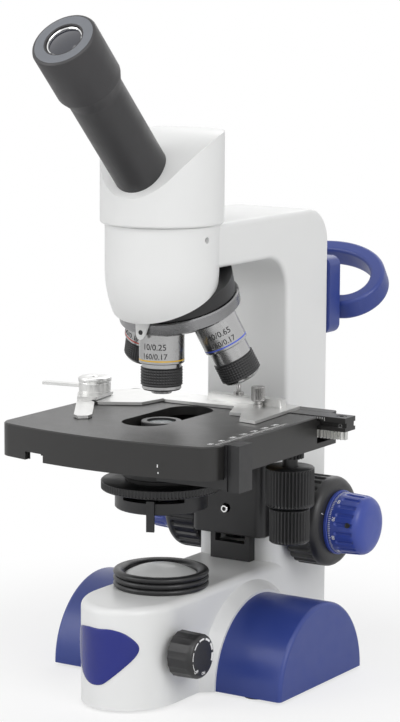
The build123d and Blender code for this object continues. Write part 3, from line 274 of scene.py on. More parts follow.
@dataclass(frozen=True)
class GlassFinish:
    """A clear or frosted optical element."""

    name: str
    colour: Triple
    slot: str
    roughness: float = 0.03
    frost_scale: float = 900.0
    clear: float = 0.92

    def material(self) -> bpy.types.Material:
        """Return the node material of this finish."""
        return shared_material(self.name, self._fill)

    def _fill(self, tree: bpy.types.NodeTree) -> None:
        """Make the shader transmissive, with a roughness that follows a slow noise."""
        spread = add_node(tree, "MapRange", {
            "To Min": self.roughness * 0.7, "To Max": self.roughness * 1.3,
            "Value": noise_at(tree, object_spot(tree), self.frost_scale)})
        fill_inputs(tree, tree.nodes["Principled BSDF"], {
            "Base Color": (*self.colour, 1.0), "Transmission Weight": self.clear, "IOR": GLASS_INDEX,
            "Coat Weight": GLASS_COAT, "Roughness": spread.outputs["Result"]})


ENAMEL = Finish("satin_white_enamel", (0.80, 0.805, 0.80), "white_casting", roughness=0.38, coat=0.12,
                mottle=0.012, mottle_scale=25.0, grain_scale=1400.0, grain_depth=0.05)
BLUE_FOOT = Finish("royal_blue_moulding", (0.028, 0.052, 0.25), "blue_foot", roughness=0.38, mottle=0.05,
                   mottle_scale=40.0, grain_scale=2600.0, grain_depth=0.16, coat=0.05)
BLUE_KNOB = Finish("blue_knob_moulding", (0.035, 0.065, 0.34), "blue_foot", roughness=0.36, mottle=0.05,
                   grain_scale=3000.0, grain_depth=0.1, coat=0.08)
BLUE_DOME = Finish("blue_domed_resin", (0.014, 0.022, 0.2), "blue_badge", roughness=0.2, mottle=0.12,
                   mottle_scale=35.0, pattern=Pattern.SMOOTH, grain_depth=0.02, coat=0.15, specular=0.35)
STAGE_BLACK = Finish("stage_satin_black", (0.016, 0.0155, 0.015), "black_metal", roughness=0.36,
                     roughness_swing=0.015, mottle=0.04, grain_scale=4200.0, grain_depth=0.22)
BLACK_PAINT = Finish("satin_black_paint", (0.014, 0.014, 0.015), "black_metal", roughness=0.36, mottle=0.08,
                     grain_scale=3000.0, grain_depth=0.12)
BLACK_GRIP = Finish("moulded_black_grip", (0.018, 0.018, 0.019), "black_plastic", roughness=0.4, mottle=0.08,
                    grain_scale=3500.0, grain_depth=0.2)
TUBE_GREY = Finish("anodised_tube_grey", (0.03, 0.0295, 0.031), "black_metal", roughness=0.4, mottle=0.05,
                   grain_scale=3600.0, grain_depth=0.12)
EYEPIECE_GREY = Finish("eyepiece_satin_grey", (0.034, 0.033, 0.035), "black_plastic", roughness=0.44,
                       mottle=0.05, grain_scale=3000.0, grain_depth=0.2)
TURNED_CHROME = Finish("turned_satin_chrome", (0.43, 0.43, 0.43), "aluminium", roughness=0.22, metallic=1.0,
                       mottle=0.04, pattern=Pattern.TURNED, grain_scale=5000.0, grain_depth=0.12)
BRIGHT_CHROME = Finish("bright_chrome", (0.82, 0.82, 0.82), "chrome", roughness=0.09, metallic=1.0,
                       mottle=0.03, pattern=Pattern.SMOOTH, grain_depth=0.04)
SATIN_PLATE = Finish("satin_nickel_plate", (0.7, 0.7, 0.69), "chrome", roughness=0.34, metallic=1.0,
                     mottle=0.05, pattern=Pattern.BRUSHED, grain_scale=4000.0, grain_depth=0.03,
                     along=RIGHT)
GROUND_STEEL = Finish("ground_steel", (0.5, 0.5, 0.5), "steel", roughness=0.28, metallic=1.0, mottle=0.06,
                      pattern=Pattern.TURNED, grain_scale=5000.0, grain_depth=0.2)
KNURLED_STEEL = Finish("knurled_steel", (0.34, 0.335, 0.33), "steel", roughness=0.3, metallic=1.0,
                       mottle=0.06, grain_scale=4000.0, grain_depth=0.1)
TURRET_GREY = Finish("turret_turned_grey", (0.28, 0.28, 0.285), "aluminium", roughness=0.26, metallic=1.0,
                     mottle=0.04, pattern=Pattern.TURNED, grain_scale=5000.0, grain_depth=0.1)
MACHINED_BRASS = Finish("machined_brass", (0.66, 0.48, 0.2), "brass", roughness=0.3, metallic=1.0,
                        mottle=0.08, pattern=Pattern.BRUSHED, grain_scale=4000.0, grain_depth=0.2)
SILVER_RACK = Finish("nickel_rack", (0.72, 0.72, 0.7), "brass", roughness=0.3, metallic=1.0, mottle=0.05,
                     grain_scale=3000.0, grain_depth=0.1)
PAD_RUBBER = Finish("pad_rubber", (0.03, 0.03, 0.03), "rubber", roughness=0.75, mottle=0.15,
                    grain_scale=2000.0, grain_depth=0.4)
COVER_GREY = Finish("cover_dark_grey", (0.11, 0.11, 0.11), "dark_cover", roughness=0.5, mottle=0.08,
                    grain_depth=0.2)
BOARD_GREEN = Finish("board_green", (0.05, 0.25, 0.12), "board", roughness=0.4, mottle=0.1, grain_depth=0.1)
WHITE_INK = Finish("white_ink", (0.86, 0.86, 0.86), "white_casting", roughness=0.6, mottle=0.03,
                   grain_depth=0.02)
BLACK_INK = Finish("engraved_black", (0.02, 0.02, 0.02), "black_metal", roughness=0.7, mottle=0.05,
                   grain_depth=0.02)
YELLOW_BAND = Finish("yellow_band_paint", (0.75, 0.45, 0.03), "aluminium", roughness=0.35, mottle=0.06,
                     mottle_scale=300.0, grain_depth=0.05)
BLUE_BAND = Finish("blue_band_paint", (0.07, 0.12, 0.62), "aluminium", roughness=0.35, mottle=0.06,
                   mottle_scale=300.0, grain_depth=0.05)
RED_BAND = Finish("red_band_paint", (0.55, 0.05, 0.03), "aluminium", roughness=0.35, mottle=0.06,
                  mottle_scale=300.0, grain_depth=0.05)
CLEAR_GLASS = GlassFinish("optical_glass", (0.96, 0.97, 0.97), "optical_glass")
LAMP_LENS = Finish("frosted_lamp_lens", (0.66, 0.665, 0.66), "frosted_glass", roughness=0.42,
                   roughness_swing=0.02, mottle=0.03, pattern=Pattern.SMOOTH, grain_depth=0.01, coat=0.12)
# The near-black lens colour is painted shade: it stands for the dark inside of the tube behind the glass,
# while the full coat gives the lens its real reflection.
LENS_PAINTED_DARK = Finish("coated_lens_painted_shade", (0.02, 0.022, 0.034), "optical_glass", roughness=0.05,
                     roughness_swing=0.01, mottle=0.1, pattern=Pattern.SMOOTH, grain_depth=0.01, coat=1.0)
# The face ring is the eyepiece's black plastic coloured a lighter bluish grey: painted sheen of the lamps on
# its upward face.
FACE_RING_SHEEN = Finish("face_ring_painted_sheen", (0.17, 0.18, 0.2), "black_plastic", roughness=0.42, mottle=0.04,
                   grain_scale=3000.0, grain_depth=0.08)


# Surfaces


@dataclass(frozen=True)
class Spindle:
    """An axis with an origin, a direction and a direction that counts as angle zero."""

    origin: Triple
    direction: Triple
    zero: Triple

    def basis(self) -> Tuple[np.ndarray, np.ndarray, np.ndarray]:
        """Return unit vectors along the axis, at angle zero and at a quarter turn."""
        along = np.array(self.direction, float)
        along = along / np.linalg.norm(along)
        first = np.array(self.zero, float)
        first = first - along * (first @ along)
        first = first / np.linalg.norm(first)
        return along, first, np.cross(along, first)

    def place(self, radius: np.ndarray, angle: np.ndarray, distance: np.ndarray) -> np.ndarray:
        """Turn cylindrical coordinates into metres in the shared frame.

        Args:
            radius: Distances from the axis.
            angle: Angles from the zero direction, in radians.
            distance: Distances along the axis from the origin.

        Returns:
            Array of points with one more axis than the broadcast inputs.
        """
        along, first, second = self.basis()
        radius, angle, distance = np.broadcast_arrays(radius, angle, distance)
        spot = (np.array(self.origin, float) + distance[..., None] * along
                + (radius * np.cos(angle))[..., None] * first + (radius * np.sin(angle))[..., None] * second)
        return metres(spot)


def dress(piece: bpy.types.Object, finish: "Finish | GlassFinish", body: str) -> bpy.types.Object:
    """Give a new piece its finish and the body it rides on.

    Args:
        piece: The new object.
        finish: Its finish.
        body: Name of the body that carries it.

    Returns:
        The same object.
    """
    piece.data.materials.clear()
    piece.data.materials.append(finish.material())
    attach(piece, body)
    LOG.info("piece %s on %s", piece.name, body)
    return piece


def linked(name: str, data: Any) -> bpy.types.Object:
    """Put a mesh, a type curve, a camera or a lamp into the scene.

    Args:
        name: Name of the object.
        data: What it holds.

    Returns:
        The object, at the origin.
    """
    item = bpy.data.objects.new(name, data)
    bpy.context.scene.collection.objects.link(item)
    return item


def smoothed(name: str, mesh: bpy.types.Mesh, shape: bmesh.types.BMesh,
             sharp_angle: float) -> bpy.types.Object:
    """Write a shape into a mesh, smooth it up to an angle and put it into the scene.

    Args:
        name: Name of the object.
        mesh: Mesh that takes the shape.
        shape: The shape, which is freed.
        sharp_angle: Edges steeper than this many degrees stay sharp.

    Returns:
        The new object.
    """
    shape.to_mesh(mesh)
    shape.free()
    mesh.polygons.foreach_set("use_smooth", np.ones(len(mesh.polygons), bool))
    mesh.set_sharp_from_angle(angle=math.radians(sharp_angle))
    mesh.update()
    return linked(name, mesh)


def object_from(name: str, points: np.ndarray, faces: Sequence[Sequence[int]],
                sharp_angle: float = SOFT_ANGLE) -> bpy.types.Object:
    """Make a mesh object, merge its doubles, point its faces outwards and smooth it up to an angle.

    Args:
        name: Object name.
        points: Array of points in metres.
        faces: Vertex indices of each face.
        sharp_angle: Edges steeper than this many degrees stay sharp.

    Returns:
        The new object.
    """
    mesh = bpy.data.meshes.new(name)
    mesh.from_pydata(np.asarray(points, float).reshape(-1, 3).tolist(), [], [list(face) for face in faces])
    shape = bmesh.new()
    shape.from_mesh(mesh)
    bmesh.ops.remove_doubles(shape, verts=shape.verts, dist=MERGE_DISTANCE)
    bmesh.ops.recalc_face_normals(shape, faces=shape.faces)
    return smoothed(name, mesh, shape, sharp_angle)


def repeated(name: str, shapes: Sequence[bpy.types.Object]) -> bpy.types.Object:
    """Join several meshes that sit at the origin into one object.

    Args:
        name: Name of the joined object.
        shapes: Objects to join, which are removed.

    Returns:
        The joined object.
    """
    joined = bmesh.new()
    for shape in shapes:
        joined.from_mesh(shape.data)
        bpy.data.objects.remove(shape)
    return smoothed(name, bpy.data.meshes.new(name), joined, SOFT_ANGLE)


def grid_faces(rows: int, columns: int, wrap_rows: bool, wrap_columns: bool, start: int = 0) -> np.ndarray:
    """Quads over a grid of points in row-major order.

    Args:
        rows: Number of rows.
        columns: Number of columns.
        wrap_rows: Whether the last row joins the first.
        wrap_columns: Whether the last column joins the first.
        start: Index of the grid's first point.

    Returns:
        Array of quads.
    """
    row = np.arange(rows if wrap_rows else rows - 1)
    column = np.arange(columns if wrap_columns else columns - 1)
    r, c = np.meshgrid(row, column, indexing="ij")
    r2, c2 = (r + 1) % rows, (c + 1) % columns
    quads = np.stack([r * columns + c, r * columns + c2, r2 * columns + c2, r2 * columns + c], axis=-1)
    return quads.reshape(-1, 4) + start


def turned_surface(name: str, spindle: Spindle, profile: Profile, segments: int,
                   relief: Optional[Relief] = None, closed: bool = False, sharp_angle: float = SOFT_ANGLE,
                   relief_from: float = 0.0) -> bpy.types.Object:
    """Surface of revolution: point (u, v) is the profile's radius at v, turned by the angle u.

    The relief is a depth that is taken off the radius, as a function of angle and of distance along the
    axis.

    Args:
        name: Object name.
        spindle: Axis of turning.
        profile: Radius and distance of each row, from one end to the other.
        segments: Steps round the axis.
        relief: Depth function, or None.
        closed: Whether the profile is a loop.
        sharp_angle: Edges steeper than this many degrees stay sharp.
        relief_from: Smallest profile radius that the relief is cut into.

    Returns:
        The new object.
    """
    outline = np.array(profile, float)
    angle = np.linspace(0.0, 2.0 * math.pi, segments, endpoint=False)[None, :]
    radius, distance = outline[:, 0:1], outline[:, 1:2]
    depth = relief(angle, distance) if relief is not None else 0.0
    depth = np.where((radius > 1e-6) & (radius >= relief_from), depth, 0.0)
    points = spindle.place(np.maximum(radius - depth, 0.0), angle, distance + 0.0 * angle)
    return object_from(name, points, grid_faces(len(outline), segments, closed, True), sharp_angle)


def dense(profile: Profile, step: float) -> List[Tuple[float, float]]:
    """Add rows to a profile so that no run is longer than step.

    Args:
        profile: Radius and distance of each row.
        step: Longest run.

    Returns:
        The profile with more rows.
    """
    rows: List[Tuple[float, float]] = [profile[0]]
    for (r0, s0), (r1, s1) in zip(profile[:-1], profile[1:]):
        count = max(1, int(math.ceil(math.hypot(r1 - r0, s1 - s0) / step)))
        share = np.linspace(0.0, 1.0, count + 1)[1:]
        rows += [(r0 + (r1 - r0) * t, s0 + (s1 - s0) * t) for t in share]
    return rows


def slots_relief(count: int, width: float, depth: float, radius: float, first: float, last: float,
                 blunt: float = 0.8, phase: float = 0.0) -> Relief:
    """Depth of evenly spaced slots that run along a knob and end in rounds.

    With a the arc distance from the nearest slot's middle and e the distance past the slot's straight
    part, the depth falls from full to none as the length of (a, e) passes half the width.

    Args:
        count: Number of slots.
        width: Slot width.
        depth: Slot depth.
        radius: Radius at which arcs are measured.
        first: Distance at which slots begin.
        last: Distance at which slots end.
        blunt: Width of the ramp at the slot's edge.
        phase: Angle of the first slot.

    Returns:
        Function of angle and distance.
    """
    pitch = 2.0 * math.pi / count

    def relief(angle: np.ndarray, distance: np.ndarray) -> np.ndarray:
        """Depth at each angle and distance."""
        arc = (np.mod(angle - phase + pitch / 2.0, pitch) - pitch / 2.0) * radius
        before, after = first + width / 2.0 - distance, distance - last + width / 2.0
        past = np.maximum(before, 0.0) + np.maximum(after, 0.0)
        reach = np.hypot(arc, past)
        return depth * (1.0 - smooth_step(reach, width / 2.0 - blunt / 2.0, width / 2.0 + blunt / 2.0))

    return relief


def knurl_relief(count: int, depth: float, first: float, last: float, rows: float = 0.0) -> Relief:
    """Depth of a knurl: a cosine round the axis, and along it too where rows is not zero.

    Args:
        count: Ridges round the axis.
        depth: Full depth.
        first: Distance at which the knurl begins.
        last: Distance at which it ends.
        rows: Ridges along the axis, or zero for straight knurling.

    Returns:
        Function of angle and distance.
    """

    def relief(angle: np.ndarray, distance: np.ndarray) -> np.ndarray:
        """Depth at each angle and distance."""
        wave = 0.5 - 0.5 * np.cos(angle * count)
        if rows:
            turns = (distance - first) / (last - first) * rows
            wave = np.maximum(wave, 0.5 - 0.5 * np.cos(turns * 2 * math.pi))
        fade = smooth_step(distance, first, first + 0.3) * (1.0 - smooth_step(distance, last - 0.3, last))
        return depth * wave * fade

    return relief


# Marks: ticks, bands and numbers laid on a surface


@dataclass
class Marks:
    """Flat marks in their own plane, wrapped onto a surface by a function.

    The function takes arrays x, y and height and gives points in metres, so that a plane keeps the marks
    flat and a cylinder bends them.
    """

    name: str
    surface: Surface
    thickness: float = 0.06
    points: List[np.ndarray] = field(default_factory=list)
    faces: List[List[int]] = field(default_factory=list)

    def bar(self, x: float, y: float, width: float, height: float) -> None:
        """Add a rectangle.

        Args:
            x: Middle of the bar.
            y: Middle of the bar.
            width: Size along x.
            height: Size along y.
        """
        across = np.repeat([[x - width / 2.0], [x + width / 2.0]], 4, axis=1)
        low, high = y - height / 2.0, y + height / 2.0
        self.strip(across, np.broadcast_to([low, high, high, low], across.shape))

    def strip(self, x: np.ndarray, y: np.ndarray) -> None:
        """Add a bar of four-cornered cross-sections, low, high, high and low.

        Args:
            x: Array of x, one row for each cross-section.
            y: Array of y of the same shape.
        """
        lift = np.array([0.0, 0.0, self.thickness, self.thickness])
        start, end = self._count(), self._count() + 4 * (len(x) - 1)
        self.points.append(np.stack([x, y, np.broadcast_to(lift, x.shape)], -1).reshape(-1, 3))
        self.faces += grid_faces(len(x), 4, False, True, start).tolist()
        self.faces += [[start, start + 1, start + 2, start + 3], [end + 3, end + 2, end + 1, end]]

    def _count(self) -> int:
        """Return how many points there are so far."""
        return sum(len(block) for block in self.points)

    def text(self, words: str, x: float, y: float, size: float, turn: float = 0.0, bold: float = 0.0) -> None:
        """Add lettering centred on a point.

        Args:
            words: What it says.
            x: Middle of the words.
            y: Middle of the words.
            size: Height of the type in millimetres.
            turn: Angle of the words in degrees.
            bold: Extra stroke width as a share of the type's height.
        """
        curve = bpy.data.curves.new(self.name + "_type", "FONT")
        curve.body = words
        curve.size = 1.0
        curve.offset = bold
        curve.extrude = 0.02
        curve.resolution_u = 3
        curve.align_x = "CENTER"
        curve.align_y = "CENTER"
        holder = linked(self.name + "_type", curve)
        bpy.context.view_layer.update()
        mesh = bpy.data.meshes.new_from_object(holder)
        flat = np.empty(len(mesh.vertices) * 3)
        mesh.vertices.foreach_get("co", flat)
        flat = flat.reshape(-1, 3)
        angle = math.radians(turn)
        count, scale = self._count(), size * TYPE_SCALE
        spot = np.empty_like(flat)
        spot[:, 0] = x + scale * (flat[:, 0] * math.cos(angle) - flat[:, 1] * math.sin(angle))
        spot[:, 1] = y + scale * (flat[:, 0] * math.sin(angle) + flat[:, 1] * math.cos(angle))
        spot[:, 2] = np.where(flat[:, 2] > 0.0, self.thickness, 0.0)
        self.points.append(spot)
        self.faces += [[count + v for v in polygon.vertices] for polygon in mesh.polygons]
        bpy.data.objects.remove(holder)
        bpy.data.meshes.remove(mesh)
        bpy.data.curves.remove(curve)

    def build(self, finish: Finish, body: str) -> bpy.types.Object:
        """Wrap the marks and make them one piece.

        Args:
            finish: The ink.
            body: Body that carries them.

        Returns:
            The new object.
        """
        flat = np.concatenate(self.points)
        spots = self.surface(flat[:, 0], flat[:, 1], flat[:, 2])
        piece = object_from(self.name, spots, self.faces, CRISP_ANGLE)
        return dress(piece, finish, body)


def on_cylinder(spindle: Spindle, radius: float) -> Surface:
    """Wrap x round a cylinder and y along it.

    Args:
        spindle: Axis of the cylinder, which starts where y is zero.
        radius: Radius at which the marks lie.

    Returns:
        Function for Marks.
    """

    def surface(x: np.ndarray, y: np.ndarray, height: np.ndarray) -> np.ndarray:
        """Points of the wrapped marks."""
        return spindle.place(radius + height, x / radius, y)

    return surface


def on_plane(origin: Triple, right: Triple, up: Triple) -> Surface:
    """Lay x and y on a plane.

    Args:
        origin: Point that is x and y zero.
        right: Unit vector along x.
        up: Unit vector along y.

    Returns:
        Function for Marks.
    """
    ex, ey = np.array(right, float), np.array(up, float)
    ez = np.cross(ex, ey)

    def surface(x: np.ndarray, y: np.ndarray, height: np.ndarray) -> np.ndarray:
        """Points of the flat marks."""
        spot = (np.array(origin, float) + x[:, None] * ex + y[:, None] * ey + height[:, None] * ez)
        return metres(spot)

    return surface


# Parts of the microscope


@dataclass
class Screw:
    """Small fastener with a turned head and a six-sided well for its key."""

    name: str
    spindle: Spindle
    radius: float
    height: float
    body: str
    finish: Finish
    sunk: float = 0.0
    segments: int = 48

    def build(self) -> bpy.types.Object:
        """Turn the head round its well.

        The well's radius at angle a is its half-width over the cosine of a folded into one sixth of a
        turn.

        Returns:
            The new object.
        """
        r, h, s = self.radius, self.height, -self.sunk
        well = 0.5 * r
        rows = np.array([(0.0, s), (r, s), (r, s + h - 0.15 * r), (r * 0.85, s + h), (well, s + h),
                         (well, s + h * 0.35), (0.0, s + h * 0.3)])
        share = np.array([0, 0, 0, 0, 1, 1, 0], float)[:, None]
        angle = np.linspace(0.0, 2.0 * math.pi, self.segments, endpoint=False)[None, :]
        fold = np.mod(angle + math.pi / 6.0, math.pi / 3.0) - math.pi / 6.0
        radius = rows[:, 0:1] * (1.0 - share) + share * well / np.cos(fold)
        points = self.spindle.place(radius, angle, rows[:, 1:2] + 0.0 * angle)
        faces = grid_faces(len(rows), self.segments, False, True)
        return dress(object_from(self.name, points, faces, CRISP_ANGLE), self.finish, self.body)


@dataclass
class FocusDrive:
    """Coarse and fine focus knobs with their dials, on both sides of the column."""

    y: float = 98.0
    z: float = 73.5
    coarse_from: float = 28.0
    coarse_length: float = 20.0
    coarse_radius: float = 24.0
    shaft_radius: float = 4.05
    fine_from: float = 50.0
    fine_length: float = 18.5
    fine_radius: float = 16.2
    grooves: int = 30
    slots: int = 20
    ticks: int = 100

    def _spindles(self, start: float) -> List[Spindle]:
        """Axis on each side, starting at a distance from the middle."""
        return [Spindle((side * start, self.y, self.z), (side, 0.0, 0.0), UP) for side in (-1, 1)]

    def build(self) -> None:
        """Make the knobs, the dials and their marks."""
        length = self.coarse_length
        rim = self.coarse_radius
        outline = [(self.shaft_radius, 0), (9, 0), (9, 9), (rim - 4, 9), (rim - 4, 0), (rim - 0.7, 0.0)]
        outline += dense([(rim, 0.7), (rim, length - 4.6)], 0.5)
        outline += [(rim - 0.15, length - 3.6), (rim - 0.55, length - 2.6), (rim - 1.2, length - 1.7),
                    (rim - 2.1, length - 0.9), (rim - 3.2, length - 0.35), (rim - 4.4, length - 0.1),
                    (rim - 6.0, length), (self.shaft_radius, length)]
        groove = slots_relief(self.grooves, 2.7, 1.15, rim, -4.0, length - 5.6, 0.9)
        sides = [turned_surface(f"coarse_{k}", spindle, outline, self.grooves * 14, groove, True, KNOB_ANGLE,
                                rim - 1.0)
                 for k, spindle in enumerate(self._spindles(self.coarse_from))]
        piece = dress(repeated("coarse_knob_pair", sides), BLACK_GRIP, "coarse")
        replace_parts(piece, "coarse_knobs")

        length, rim = self.fine_length, self.fine_radius
        outline = [(0.0, 14.5), (2.55, 14.5), (2.55, 0.1), (rim - 0.4, 0.1), (rim, 0.4)]
        outline += dense([(rim, 3.0), (rim - 0.5, length - 5.3)], 0.45)
        outline += [(rim - 0.75, length - 4.2), (rim - 1.25, length - 3.1), (rim - 2.05, length - 2.1),
                    (rim - 3.3, length - 1.25), (rim - 4.9, length - 0.65), (rim - 7.0, length - 0.28),
                    (rim - 10.0, length - 0.08), (0.0, length)]
        slot = slots_relief(self.slots, 1.9, 0.75, rim, 4.3, length - 4.3, 0.7, math.pi / self.slots)
        sides = [turned_surface(f"fine_{k}", spindle, outline, self.slots * 20, slot, False, KNOB_ANGLE,
                                rim - 0.6)
                 for k, spindle in enumerate(self._spindles(self.fine_from))]
        piece = dress(repeated("fine_knob_pair", sides), BLUE_KNOB, "fine")
        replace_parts(piece, "fine_knobs")

        for side, spindle in zip(("left", "right"), self._spindles(self.fine_from)):
            marks = Marks(f"fine_dial_{side}", on_cylinder(spindle, self.fine_radius))
            around = 2.0 * math.pi * self.fine_radius
            for k in range(self.ticks):
                tall = 1.7 if k % 10 == 0 else (1.5 if k % 5 == 0 else 1.15)
                marks.bar((k / self.ticks - 0.5) * around, 0.4 + tall / 2.0, 0.28, tall)
            for k in range(0, self.ticks, 10):
                marks.text(str(k), (k / self.ticks - 0.5) * around, 3.25, 1.75, 0.0, 0.02)
            marks.build(WHITE_INK, "fine")
            index = Marks(f"coarse_index_{side}", self._index_surface(spindle))
            index.bar(0.0, 0.0, 0.35, 2.2)
            index.build(WHITE_INK, "coarse")
            set_axis = Spindle((spindle.origin[0] + spindle.direction[0] * 11.6, self.y, self.z),
                               (0.0, -math.cos(0.16), math.sin(0.16)), RIGHT)
            rows = [(0.0, 12.0), (1.4, 12.0), (1.4, rim - 0.38), (1.1, rim - 0.36), (0.9, rim - 0.7),
                    (0.0, rim - 0.7)]
            dress(turned_surface(f"fine_set_screw_{side}", set_axis, rows, 24), BLACK_INK, "fine")

    def _index_surface(self, spindle: Spindle) -> Surface:
        """Place the coarse knob's index line on its outer face, at the front."""
        flip = spindle.direction[0]
        return on_plane((spindle.origin[0] - 2.0 * flip, self.y - 17.9, self.z + 7.6),
                        (0.0, 0.4 * flip, 0.916 * flip), (0.0, -0.916, 0.4))


@dataclass
class LampControl:
    """Brightness knob on the base, with a dial of growing bars on its face."""

    y: float = -26.5
    z: float = 28.0
    start: float = 28.0
    radius: float = 11.7
    length: float = 14.0
    flutes: int = 18
    dial: float = 9.4

    def build(self) -> None:
        """Make the knob and its face marks."""
        spindle = Spindle((self.start, self.y, self.z), RIGHT, UP)
        r, h = self.radius, self.length
        outline = [(0.0, -14.0), (3.0, -14.0), (3.0, -1.2), (7.0, -1.2), (7.0, 0.0), (r - 0.5, 0.0)]
        outline += dense([(r, 0.5), (r - 0.3, h - 3.2)], 0.6)
        outline += [(r - 0.5, h - 1.9), (r - 0.9, h - 1.0), (r - 1.5, h - 0.35), (r - 2.2, h - 0.05),
                    (r - 2.6, h), (r - 6.0, h), (0.0, h)]
        flute = slots_relief(self.flutes, 3.0, 0.3, r, -3.0, h - 2.6, 2.2)
        knob = turned_surface("lamp_knob", spindle, outline, self.flutes * 14, flute, False, KNOB_ANGLE,
                              r - 0.7)
        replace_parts(dress(knob, BLACK_GRIP, "dimmer"), "dimmer_knob")
        face = (self.start + h, self.y, self.z)
        marks = Marks("lamp_knob_dial", on_plane(face, BACK, UP), 0.05)
        for k in range(7):
            self._arc(marks, math.radians(205.0 - k * 36.0), math.radians(27.0), 0.3 + 0.2 * k)
        marks.text("OFF", -6.0, -6.4, 1.5, 0.0, 0.02)
        marks.text("ON", 0.4, -8.4, 1.5, 0.0, 0.02)
        marks.build(WHITE_INK, "dimmer")

    def _arc(self, marks: Marks, middle: float, sweep: float, width: float) -> None:
        """Add one bar of the dial: a ring sector that grows inwards from the dial's radius.

        Args:
            marks: Where it goes.
            middle: Angle of its middle.
            sweep: Angle that it spans.
            width: Its radial width.
        """
        angle = np.linspace(middle - sweep / 2.0, middle + sweep / 2.0, 9)[:, None]
        radius = np.array([self.dial - width, self.dial, self.dial, self.dial - width])
        marks.strip(radius * np.cos(angle), radius * np.sin(angle))


@dataclass
class StageDrives:
    """Coaxial knobs that hang under the stage, as long as the solids that they replace."""

    x: float = 50.5
    y: float = 42.0
    upper_radius: float = 12.5
    lower_radius: float = 10.3
    flute_depth: float = 1.1

    def build(self) -> None:
        """Make both knobs with fine straight flutes."""
        knobs = ((self.upper_radius, 41, "y_knob", "y_drive", 4.2),
                 (self.lower_radius, 34, "x_knob", "x_drive", 2.2))
        for radius, flutes, node, body, bore in knobs:
            low, high = (corner[2] * PER_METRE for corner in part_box(node))
            h = high - low
            outline = [(bore, 0.0), (radius - 0.6, 0.0)]
            outline += dense([(radius, 0.6), (radius, h - 0.6)], 0.8)
            outline += [(radius - 0.6, h), (bore, h)]
            flute = knurl_relief(flutes, self.flute_depth, 0.9, h - 0.9)
            axis = Spindle((self.x, self.y, low), UP, RIGHT)
            knob = turned_surface(f"stage_{node}", axis, outline, flutes * 10, flute, True, WIDE_ANGLE,
                                  radius - 0.3)
            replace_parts(dress(knob, BLACK_GRIP, body), node)


@dataclass
class Objective:
    """One objective: chrome barrel, colour band, engraved numbers, knurled grip and front ring."""

    tag: str
    direction: Triple
    upright: Triple
    barrel: float
    grip_from: float
    grip_to: float
    front: Profile
    glass: float
    band: Finish
    lines: Tuple[str, str]
    shift: float = -3.4
    apex: Triple = (0.0, 0.0, 240.5)
    seat: float = 54.4624
    radius: float = 11.4
    neck: float = 9.9
    knurl: float = 10.65
    thread: float = 10.1

    def spindle(self) -> Spindle:
        """Return the axis, with its start moved to the seat on the turret."""
        along = np.array(self.direction) / np.linalg.norm(self.direction)
        return Spindle(tuple(np.array(self.apex) + along * self.seat), self.direction, self.upright)

    def build(self) -> None:
        """Make the barrel, the grip with a knurl of small squares, the front, the band and the numbers."""
        axis, r, end = self.spindle(), self.radius, self.barrel
        barrel = [(7.0, -3.0), (self.thread, -3.0), (self.thread, 0.0), (r - 0.4, 0.0), (r, 0.4),
                  (r, end - 0.35), (r - 0.35, end), (self.neck, end + 0.05), (self.neck, self.grip_from),
                  (7.0, self.grip_from)]
        piece = turned_surface(f"barrel_{self.tag}", axis, barrel, 128, None, True, CRISP_ANGLE)
        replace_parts(dress(piece, TURNED_CHROME, "nosepiece"), f"objective_{self.tag}_barrel")
        low, high = self.grip_from + 0.05, self.grip_to
        outline = [(7.0, low), (self.knurl - 0.4, low)]
        outline += dense([(self.knurl, low + 0.3), (self.knurl, high - 0.3)], 0.14)
        outline += [(self.knurl - 0.4, high), (7.0, high)]
        relief = knurl_relief(46, 0.42, low + 0.2, high - 0.2, round((high - low) / 1.4))
        grip = turned_surface(f"grip_{self.tag}", axis, outline, 368, relief, True, KNURL_ANGLE,
                              self.knurl - 0.1)
        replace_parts(dress(grip, BLACK_GRIP, "nosepiece"), f"objective_{self.tag}_nose")
        last = self.front[-1][1]
        rows = [(0.0, high + 0.02), (self.front[0][0], high + 0.02), *self.front,
                (self.front[-1][0], last - 0.8), (0.0, last - 0.8)]
        tip = turned_surface(f"tip_{self.tag}", axis, rows, 96, None, False, CRISP_ANGLE)
        dress(tip, TURNED_CHROME, "nosepiece")
        low, high = end - 2.1, end - 1.4
        rows = [(r - 0.3, low), (r + 0.03, low), (r + 0.03, high), (r - 0.3, high)]
        band = turned_surface(f"band_{self.tag}", axis, rows, 96, None, True, CRISP_ANGLE)
        dress(band, self.band, "nosepiece")
        marks = Marks(f"numbers_{self.tag}", self._label_surface(axis, end - 6.4), 0.03)
        marks.text(self.lines[0], self.shift, 2.35, 3.2, 0.0, 0.01)
        marks.text(self.lines[1], self.shift, -2.35, 2.9, 0.0, 0.01)
        marks.build(BLACK_INK, "nosepiece")

    def lens(self) -> bpy.types.Object:
        """Return the front lens: a shallow dome just inside the front's rim."""
        last, g = self.front[-1][1], self.glass
        rows = [(0.0, last - 0.85), (g, last - 0.85), (g, last - 0.45), (0.6 * g, last - 0.25),
                (0.0, last - 0.18)]
        return turned_surface(f"lens_{self.tag}", self.spindle(), rows, 48)

    def _label_surface(self, spindle: Spindle, middle: float) -> Surface:
        """Wrap the numbers so that they read from the eyepiece down to the tip."""

        def surface(x: np.ndarray, y: np.ndarray, height: np.ndarray) -> np.ndarray:
            """Points of the wrapped numbers."""
            return spindle.place(self.radius + 0.01 + height, -x / self.radius, middle - y)

        return surface


